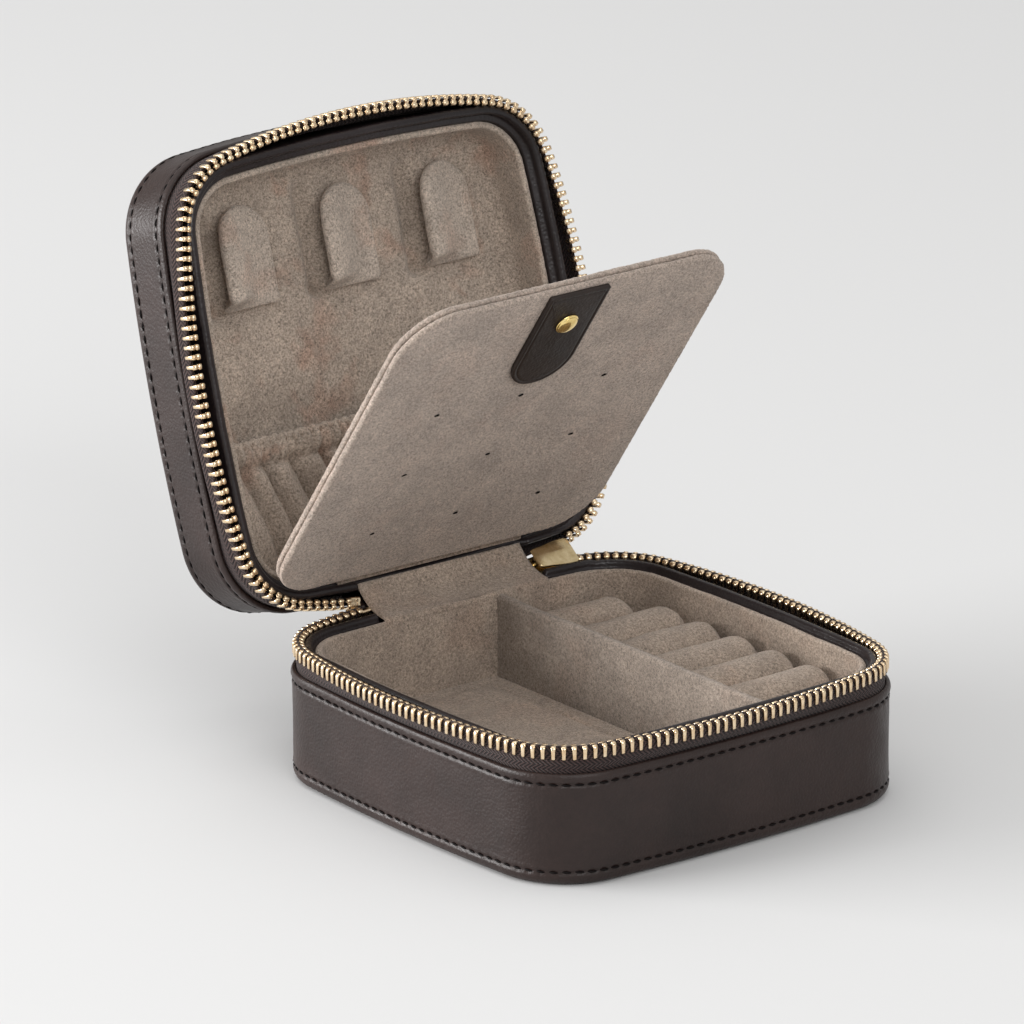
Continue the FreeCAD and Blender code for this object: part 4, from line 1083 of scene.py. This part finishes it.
def necklace_tab(number, centre):
    """A padded hook tab: sewn down at its foot, free at its round tip and lifted along its left edge."""
    left, right = centre - TAB_HALF_WIDTH, centre + TAB_HALF_WIDTH
    corners = [(left, TAB_TIP, 7.7), (right, TAB_TIP, 7.7), (right, TAB_FOOT, 1.2), (left, TAB_FOOT, 1.2)]
    loop = round_section(corners, 0.45)
    back = LID_FLOOR_Z - TAB_LIFT
    face = back - TAB_THICKNESS
    piece = pad_piece(f"necklace_tab_{number}_cover", loop, back, face, 0.95, 0.3, 14, back_edge=0.6)
    points = read_points(piece) / MM
    across = (points[:, 0] - centre) / TAB_HALF_WIDTH
    free = smooth((TAB_FOOT - 0.4 - points[:, 1]) / 2.2)
    tip = smooth((points[:, 1] - TAB_TIP) / 7.0)
    sunk = 1.7 * smooth((across + 0.55) / 1.25)
    lifted = 2.8 * smooth((0.25 - across) / 1.1) * (0.35 + 0.65 * tip)
    points[:, 2] += (sunk - lifted) * free + 1.5 * (1 - free) - 0.2 * bump(across, 0.6) * free
    points[:, 2] -= 1.6 * bump(across + 1.0, 0.28) * bump(points[:, 1] - TAB_FOOT + 1.4, 1.1)
    write_points(piece, points * MM)
    fuzz(piece, 0.06, seed=number)
    # The tabs wear the lighter copy of the lid suede: painted light.
    return dress(settle(piece, "lid", f"necklace_tab_{number}"), HOOK_PAINTED_LIGHT_FINISH)


def inner_back(x):
    """How far back the lining's inner face is at each x."""
    spots, normals = LEATHER.at(np.linspace(LEATHER.side / 2, LEATHER.side * 2.5 + LEATHER.bend * 2, 900))
    inner = spots - normals * (FILLING_INSET + 0.1)
    order = np.argsort(inner[:, 0])
    return np.interp(x, inner[order, 0], inner[order, 1])


def pleat(x, wavelength, seed):
    """An uneven run of folds along x, between -1 and 1."""
    drift = 0.55 * wobble(place_at(x / 9.0, seed), 1.0)
    return np.sin(2 * math.pi * (x / wavelength + drift) + seed)


def lid_pocket():
    """The gathered pocket: ruched along its elastic mouth, with pleats that soften towards the bottom."""
    edge = HALF_WIDTH - FILLING_INSET - 0.15
    x_line = np.linspace(-edge, edge, 330)
    v = np.concatenate([np.linspace(0, 0.2, 16), np.linspace(0.2, 1, 34)[1:]])
    x = np.broadcast_to(x_line[:, None], (len(x_line), len(v)))
    bottom = inner_back(x_line)
    y = POCKET_MOUTH + (bottom - POCKET_MOUTH)[:, None] * v
    reach = y - POCKET_MOUTH
    rim = smooth((edge - np.abs(x)) / 3.5)
    band = 1 - smooth((reach - 4.8) / 1.6)
    ruche = (pleat(x + 0.12 * reach, 2.3, 1.0) * 0.5 + pleat(x, 1.3, 6.0) * 0.16) * band
    lean = x - 0.16 * reach + 1.1 * np.sin(reach / 7.0 + 1.3)
    wave = lean / 7.6 + 0.6 * wobble(place_at(lean / 15, 0.0), 1.0, 8.0)
    lobe = np.abs(np.cos(math.pi * wave)) ** 0.55
    folds = (lobe - 0.62) * 3.9 * smooth((reach - 3.2) / 4.5) * (1 - 0.6 * smooth((reach - 9) / 24))
    small = pleat(x + 0.3 * reach, 4.1, 4.0) * 0.28 * smooth((reach - 5) / 3) * (1 - smooth(reach / 22))
    seam = 0.75 * bump(reach - 5.4, 0.9)
    puff = 0.9 * np.sin(np.clip(reach / 5.4, 0, 1) * math.pi)
    sag = 1.2 * smooth(reach / 20) * (1 - smooth((reach - 20) / 12))
    z = LID_FLOOR_Z - POCKET_LIFT + POCKET_THICKNESS - (ruche + folds + small + puff - seam + sag) * rim
    front, back = (place_at(x, y, z + side * POCKET_THICKNESS / 2) for side in (-1, 1))
    piece = grid_piece("gathered_pocket", np.concatenate([front, back[:, ::-1]], 1))
    fuzz(piece, 0.04)
    return dress(settle(piece, "lid", "lid_pocket"), LID_FINISH)


def pocket_elastic():
    """The elastic cord in its gathered casing along the pocket's mouth."""
    low, high = -HALF_WIDTH + FILLING_INSET + 0.7, HALF_WIDTH - FILLING_INSET - 0.7
    x = np.linspace(low, high, 300)[:, None]
    around = np.arange(18) / 18 * 2 * math.pi
    girth = 0.8 + 0.2 * pleat(x, 2.7, 1.0) + 0.06 * pleat(x, 0.9, 5.0)
    y = POCKET_MOUTH + 0.3 + girth * 1.05 * np.cos(around)
    z = LID_FLOOR_Z - POCKET_LIFT + 0.5 + girth * 0.8 * np.sin(around)
    piece = grid_piece("pocket_mouth_casing", place_at(x, y, z))
    return dress(settle(piece, "lid", "pocket_elastic"), LID_FINISH)


# ---------------------------------------------------------------- hinge leather and strips


def bent_path(start, corner, end, radius, step=0.4):
    """Straight, arc, straight through three (y, z) points."""
    start, corner, end = (np.array(point, float) for point in (start, corner, end))
    into = (start - corner) / np.linalg.norm(start - corner)
    out = (end - corner) / np.linalg.norm(end - corner)
    half = math.acos(float(into @ out)) / 2
    reach = radius / math.tan(half)
    middle = corner + (into + out) / np.linalg.norm(into + out) * radius / math.sin(half)
    first, last = corner + into * reach - middle, corner + out * reach - middle
    across = np.array([-first[1], first[0]])
    swing = math.atan2(across @ last, first @ last)
    bend = [middle + math.cos(t) * first + math.sin(t) * across for t in np.linspace(0, swing, 24)]
    line = [start, *bend, end]
    full = [line[0]]
    for before, after in zip(line, line[1:]):
        pieces = max(1, int(np.linalg.norm(after - before) / step))
        full += [before + (after - before) * k / pieces for k in range(1, pieces + 1)]
    return np.array(full)


def band(name, path, thickness, left, right, ripple, step=0.8):
    """A soft strap of one thickness carried along X, with rounded long edges."""
    run = np.gradient(path, axis=0)
    run /= np.linalg.norm(run, axis=1)[:, None]
    side = np.stack([run[:, 1], -run[:, 0]], -1)
    x_line = np.linspace(left, right, int((right - left) / step))
    edge = np.minimum(x_line - left, right - x_line)
    thin = np.sqrt(np.clip(1 - (1 - np.clip(edge / (thickness * 0.6), 0, 1)) ** 2, 0.02, 1))
    rows = []
    for x, share in zip(x_line, thin):
        lift = ripple(x, path)
        half = side * (thickness / 2 * share)
        middle = path + side * lift[:, None]
        ring = np.concatenate([middle + half, (middle - half)[::-1]])
        rows.append(np.column_stack([np.full(len(ring), x), ring]))
    return grid_piece(name, np.array(rows))


def outer_hinge():
    """The leather strap outside the hinge, folded as it is when the lid stands open."""
    middle = HALF_WIDTH - SKIN_THICKNESS / 2
    start = Vector((0, middle, BASE.wall + 0.05))
    shut = Vector((0, middle, CASE_HEIGHT - LID_WALL_HEIGHT))
    end = LID @ shut
    down = ((LID @ (shut + Vector((0, 0, -1)))) - end).normalized()
    corner = end - down * (end.y - start.y) / down.y
    path = bent_path((start.y, start.z), (corner.y, corner.z), (end.y, end.z), 4.6)
    left, right = ZIP_LEFT + 0.4, HINGE_LEATHER_RIGHT
    piece = band("hinge_leather", path, SKIN_THICKNESS, left, right, lambda x, line: 0 * line[:, 0])
    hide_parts("outer_hinge_leather")
    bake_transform(piece)
    return dress(piece, LEATHER_FINISH)


def inner_strip():
    """The suede strip rolls over the base lining's edge and curves up to the lid lining."""
    start = (HALF_WIDTH - FILLING_INSET - BASE_LINING_EXTRA + 0.75, BASE.lining + 0.05)
    bend, reach = 11.2, 9.75
    angle = math.asin(reach / bend)
    end = (start[0] + reach, start[1] + bend * (1 - math.cos(angle)))
    corner = (start[0] + bend * math.tan(angle / 2), start[1])
    roll = np.radians(np.linspace(230, 100, 8))
    nose = np.column_stack([start[0] + 0.6 * np.cos(roll), start[1] - 0.6 + 0.6 * np.sin(roll)])
    path = np.concatenate([nose, bent_path(start, corner, end, bend - 0.001)])

    def ripple(x, line):
        t = np.linspace(0, 1, len(line))
        return (0.28 * np.sin(x / 6.0 + 1.0) + 0.16 * np.sin(x / 2.3)) * np.sin(t * math.pi)

    piece = band("hinge_suede_strip", path, 0.7, STRIP_LEFT, STRIP_RIGHT, ripple)
    fuzz(piece, 0.04)
    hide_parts("inner_hinge_strip")
    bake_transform(piece)
    return dress(piece, SUEDE_FINISH)


def panel_strip():
    """The narrow suede hinge of the folding panel."""
    data = frame["nodes"]["panel_hinge_strip"].data.copy()
    piece = bpy.data.objects.new("panel_hinge_cloth", data)
    bpy.context.scene.collection.objects.link(piece)
    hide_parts("panel_hinge_strip")
    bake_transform(piece)
    return dress(piece, SUEDE_FINISH)


# ---------------------------------------------------------------- folding panel

PANEL_LOW = 28.6
PANEL_HIGH = 31.6
PANEL_HALF_WIDTH, PANEL_FRONT, PANEL_BACK, PANEL_CORNER = 43.8, -45.4, 44.5, 12.5
PIN_COLUMNS, PIN_ROWS = (-22.5, 0.0, 22.5), (28.5, 9.0, -10.5)
STUD_PLACE = -35.2


def skewed(piece):
    """The panel sits a little askew on its soft hinge."""
    for vertex in piece.data.vertices:
        along = (vertex.co.y / MM - PANEL_FRONT) / (PANEL_BACK - PANEL_FRONT)
        vertex.co.x -= (0.9 + 1.5 * along) * MM
    return piece


def panel_face(name, back, face):
    """One padded half of the panel; the two halves meet in a sewn seam round the edge."""
    left, right = -PANEL_HALF_WIDTH, PANEL_HALF_WIDTH
    corners = [(left, PANEL_FRONT), (right, PANEL_FRONT), (right, PANEL_BACK), (left, PANEL_BACK)]
    loop = round_section([(x, y, PANEL_CORNER) for x, y in corners], 0.6)

    def relief(x, y):
        ground = place_at(x, y, back)
        return 0.16 * wobble(ground, 22.0, 3.0) + 0.05 * wobble(ground, 5.0, 1.0)

    piece = pad_piece(name, loop, back, face, 0.75, 0.1, 60, relief, back_edge=0.55)
    fuzz(piece, 0.1, 0.7)
    return dress(piece, PANEL_FINISH)


def pin_holes(piece):
    """A grid of small holes for earring posts, their walls given the dark thread finish as painted shade."""
    around = np.arange(14) / 14 * 2 * math.pi
    ends = np.array([[PANEL_LOW - 1.0], [PANEL_LOW + 1.32]])
    parts = []
    for x in PIN_COLUMNS:
        for y in PIN_ROWS:
            parts.append(tube(place_at(x + 0.7 * np.cos(around), y + 0.42 * np.sin(around), ends)))
    cutter = joined("pin_cutter", parts)
    # The cutter's dark thread finish passes to the hole walls: painted shade inside the holes.
    cutter.data.materials.append(THREAD_AND_HOLE_SHADE_FINISH)
    modifier = piece.modifiers.new("pins", "BOOLEAN")
    modifier.operation = "DIFFERENCE"
    modifier.object = cutter
    modifier.solver = "EXACT"
    modifier.material_mode = "TRANSFER"
    bake(piece)
    bpy.data.objects.remove(cutter)


def bake(piece):
    """Replace a piece's mesh by what its modifiers make of it."""
    bpy.context.view_layer.update()
    graph = bpy.context.evaluated_depsgraph_get()
    made = bpy.data.meshes.new_from_object(piece.evaluated_get(graph))
    piece.modifiers.clear()
    piece.data = made


def pull_tab():
    """The leather tongue under the panel's free edge, creased along its border."""
    start, end, half = -44.6, -15.6, 8.0
    corners = [(-half, start, 0.6), (half, start, 0.6), (half, end, 7.6), (-half, end, 7.6)]
    loop = round_section(corners, 0.4)
    back, face = PANEL_LOW - 0.05, PANEL_LOW - 1.15
    height = back - face
    profile = [(0.12, 0.0), (0.0, 0.12), (0.0, 0.45), (0.0, height - 0.3), (0.1, height - 0.1)]
    profile += [(0.32, height), (0.75, height), (0.9, height - 0.14), (1.05, height - 0.14), (1.2, height)]

    def relief(x, y):
        return 0.08 * wobble(place_at(x, y), 8.0, 2.0)

    piece = pad_piece("pull_tab_leather", loop, back, face, 0.32, 0.12, 16, relief, profile=profile)
    return dress(settle(skewed(piece), "panel", "pull_tab"), TAB_FINISH)


def stud():
    """The domed gold stud: a flat rim, a step and a polished dome."""
    tab_face = PANEL_LOW - 1.2
    rim = [(0.9, PANEL_HIGH), (0.9, tab_face), (2.5, tab_face), (2.75, tab_face - 0.12)]
    rim += [(2.75, tab_face - 0.34), (2.62, tab_face - 0.5), (2.42, tab_face - 0.55)]
    turns = np.linspace(0.1, 1, 12) * math.pi / 2
    dome = np.column_stack([2.4 * np.cos(turns), tab_face - 0.55 - 0.75 * np.sin(turns)])
    dome[-1, 0] = 0.02
    radius, height = np.concatenate([rim, dome]).T[..., None]
    around = np.arange(56) / 56 * 2 * math.pi
    piece = joined("stud_dome", [tube(place_at(radius * np.cos(around), radius * np.sin(around), height))])
    move(piece, Matrix.Translation((-1.05, STUD_PLACE, 0)))
    return dress(settle(piece, "panel", "stud_cap"), STUD_FINISH)


# ---------------------------------------------------------------- slider and puller

SLIDER_CENTRE = 30.3
SLIDER_LINE = 50.9


def slider_plate(face, side, share=1.0):
    """One wedge-shaped plate of the slider with a ridge down its middle."""
    rows = []
    for t in np.linspace(0, 1, 17):
        x = -5.75 + 10.25 * t
        half = 2.2 + 0.9 * smooth(t * 1.15)
        half *= share * math.sqrt(max(0.0, 1 - max(0.0, abs(2 * t - 1) - 0.86) ** 2 * 12))
        low, high = half + 1.0 * share, half - 0.3 * share
        middle = -0.35 * share
        peak = 0.72 + 0.42 * math.sin(math.pi * t) ** 0.4
        section = [(-low, 0.0), (-low, 0.4), (-low + 0.28, 0.66), (middle - 0.16, peak)]
        section += [(middle + 0.16, peak), (high - 0.28, 0.66), (high, 0.4), (high, 0.0)]
        rows.append([(SLIDER_CENTRE + x, face + side * height, HINGE.z + z) for z, height in section])
    return np.array(rows)


def slider():
    """The zip slider: two ridged plates and the wedge post between them."""
    parts = [tube(slider_plate(SLIDER_LINE - 1.2, -1.0)), tube(slider_plate(SLIDER_LINE + 1.2, 1.0, 0.8))]
    around = np.arange(20) / 20 * 2 * math.pi
    ends = np.array([[SLIDER_LINE - 1.3], [SLIDER_LINE + 1.3]])
    parts.append(tube(place_at(SLIDER_CENTRE - 4.3 + np.cos(around), ends, HINGE.z + np.sin(around))))
    piece = joined("zip_slider", parts)
    piece.modifiers.new("soften", "BEVEL").width = 0.12 * MM
    piece.modifiers["soften"].segments = 2
    bake(piece)
    return dress(settle(piece, "slider", "slider_body"), SLIDER_FINISH)


def bail():
    """The wire loop on the slider's outer plate."""
    outer, rise, corner, half, wire = SLIDER_LINE + 2.05, 1.9, 0.9, 2.1, 0.5
    turns = np.linspace(0.2, math.pi / 2, 6)
    left = [(-half, 0.0), (-half, rise - corner)]
    left += [(-half + corner * (1 - math.cos(a)), rise - corner + corner * math.sin(a)) for a in turns]
    spine = np.array(left + [(-x, y) for x, y in left[::-1]])
    run = np.gradient(spine, axis=0)
    run /= np.linalg.norm(run, axis=1)[:, None]
    around = np.arange(14) / 14 * 2 * math.pi
    aside, up = wire * np.cos(around), wire * np.sin(around)
    x = SLIDER_CENTRE + spine[:, :1] - run[:, 1:] * aside
    y = outer + spine[:, 1:] + run[:, :1] * aside
    piece = joined("slider_bail_wire", [tube(place_at(x, y, HINGE.z + up))])
    return dress(settle(piece, "slider", "slider_bail"), SLIDER_FINISH)


def puller():
    """The hanging pull: a rolled eye, a narrow neck and a plate with a sunk field."""
    pivot = Vector(JOINTS["puller_swing"]["pos_m"]) / MM
    width, length, half = 3.0, 21.0, 0.6
    top, field = -3.4, half - 0.2
    corners = [(-width, -length, 2.6), (width, -length, 2.6), (width, top, 1.6), (-width, top, 1.6)]
    loop = round_section(corners, 0.35)
    profile = [(0.0, 0.0), (0.0, half - 0.22), (0.25, half), (0.7, half), (0.95, field), (1.3, field)]
    border = inset_loop(loop, profile[-1][0])
    parts = []
    for sign in (1, -1):
        rows = [(inset_loop(loop, inset), level) for inset, level in profile]
        rows += [(border * (1 - share) + border.mean(0) * share, field) for share in (0.5, 0.99)]
        plate = [np.column_stack([row, np.full(len(loop), level * sign)]) for row, level in rows]
        parts.append(tube(np.array(plate)))
    neck_x, neck_z = np.array([(-1.2, -0.55), (1.2, -0.55), (1.2, 0.55), (-1.2, 0.55)]).T
    parts.append(tube(place_at(neck_x, np.array([[-4.2], [-3.0], [-1.6], [-0.9]]), neck_z)))
    around = np.arange(28) / 28 * 2 * math.pi
    eye = [(-1.5, 0.62), (-1.5, 1.05), (-1.38, 1.2), (1.38, 1.2), (1.5, 1.05), (1.5, 0.62)]
    x, radius = np.array(eye).T[..., None]
    rings = place_at(x, radius * np.cos(around), radius * np.sin(around))
    faces = ring_quads(len(eye), len(around), wrap=True)[:, [0, 3, 2, 1]]
    parts.append((rings.reshape(-1, 3), faces.tolist()))
    piece = joined("zip_puller", parts)
    move(piece, Matrix.Translation(pivot) @ Matrix.Rotation(math.pi / 2, 4, "X"))
    return dress(settle(piece, "puller", "puller"), SLIDER_FINISH)


# ---------------------------------------------------------------- build everything

for half in (BASE, LID_HALF):
    wall(half)
    stitching(half)
    zip_tape(half)
    zip_teeth(half)
    collar(half)
flat_panel(BASE, "bottom_leather", "base_underside_leather")
flat_panel(LID_HALF, "top_leather", "lid_top_panel")
base_lining()
lid_tray()
floor_pad()
ring_bed()
divider()
for number in range(1, 8):
    ring_roll(number)
for number, centre in enumerate(TAB_CENTRES, start=1):
    necklace_tab(number, centre)
lid_pocket()
pocket_elastic()
outer_hinge()
inner_strip()
panel_strip()
under = panel_face("panel_under_suede", PANEL_LOW + 1.42, PANEL_LOW)
pin_holes(under)
settle(skewed(under), "panel", "panel_under_face", "panel_board")
upper = panel_face("panel_upper_suede", PANEL_HIGH - 1.42, PANEL_HIGH)
settle(skewed(upper), "panel", "panel_upper_face")
pull_tab()
stud()
slider()
bail()
puller()

NODE_FINISHES = {
    "base_bottom_board": BOARD_FINISH,
    "base_wall_board": BOARD_FINISH,
    "lid_top_board": BOARD_FINISH,
    "lid_wall_board": BOARD_FINISH,
    "stud_back": BRASS_FINISH,
}
for node, finish in NODE_FINISHES.items():
    data = frame["nodes"][node].data
    data.materials.clear()
    data.materials.append(finish)

# ---------------------------------------------------------------- stage, light and camera


def pale(name, colour):
    """A plain pale matt surface."""
    made = bpy.data.materials.new(name)
    made.use_nodes = True
    shader = made.node_tree.nodes["Principled BSDF"]
    shader.inputs["Base Color"].default_value = (*colour, 1)
    shader.inputs["Roughness"].default_value = 0.9
    shader.inputs["Specular IOR Level"].default_value = 0.1
    return made


def floor():
    """A wide plain floor."""
    reach = 20.0
    data = bpy.data.meshes.new("floor")
    corners = [(-reach, -reach, 0), (reach, -reach, 0), (reach, reach, 0), (-reach, reach, 0)]
    data.from_pydata(corners, [], [(0, 1, 2, 3)])
    piece = bpy.data.objects.new("floor", data)
    bpy.context.scene.collection.objects.link(piece)
    piece.location.z = -0.0002
    data.materials.append(pale("studio_floor", (0.72, 0.72, 0.72)))


def soft_box(name, place, target, size, power):
    """A large soft lamp aimed at a point."""
    lamp = bpy.data.lights.new(name, "AREA")
    lamp.shape = "RECTANGLE"
    lamp.size, lamp.size_y = size
    lamp.energy = power
    piece = bpy.data.objects.new(name, lamp)
    bpy.context.scene.collection.objects.link(piece)
    piece.location = place
    piece.rotation_euler = (Vector(target) - Vector(place)).to_track_quat("-Z", "Y").to_euler()


def light():
    world = bpy.data.worlds.new("studio")
    bpy.context.scene.world = world
    world.use_nodes = True
    background = world.node_tree.nodes["Background"]
    background.inputs["Color"].default_value = (1.0, 0.995, 0.985, 1)
    background.inputs["Strength"].default_value = 0.5
    middle = (0, 0.02, 0.05)
    soft_box("overhead", (-0.1, 0.35, 1.8), middle, (2.2, 2.2), 13.0)
    soft_box("front", (-0.4, -1.5, 1.0), middle, (1.3, 0.7), 11.0)
    soft_box("left_back", (-1.3, 0.85, 0.36), middle, (1.2, 0.45), 31.0)


def camera():
    """A long lens from the front left, a little above the case."""
    yaw, pitch, roll = (math.radians(angle) for angle in (-37.96, 18.45, -0.30))
    distance = 2031.0
    back = Vector((math.sin(yaw) * math.cos(pitch), -math.cos(yaw) * math.cos(pitch), math.sin(pitch)))
    level_right = (-back).cross(Vector((0, 0, 1))).normalized()
    level_up = level_right.cross(-back)
    right = math.cos(roll) * level_right + math.sin(roll) * level_up
    up = -math.sin(roll) * level_right + math.cos(roll) * level_up
    place = right * -16.68 + up * 57.42 + back * distance
    lens = bpy.data.cameras.new("view")
    lens.sensor_width = 36.0
    lens.lens = 335.0
    lens.clip_start, lens.clip_end = 0.05, 60.0
    piece = bpy.data.objects.new("view", lens)
    bpy.context.scene.collection.objects.link(piece)
    turned = Matrix((right, up, back)).transposed().to_4x4()
    piece.matrix_world = Matrix.Translation(place * MM) @ turned
    bpy.context.scene.camera = piece


floor()
light()
camera()
bpy.context.scene.view_settings.view_transform = "Standard"
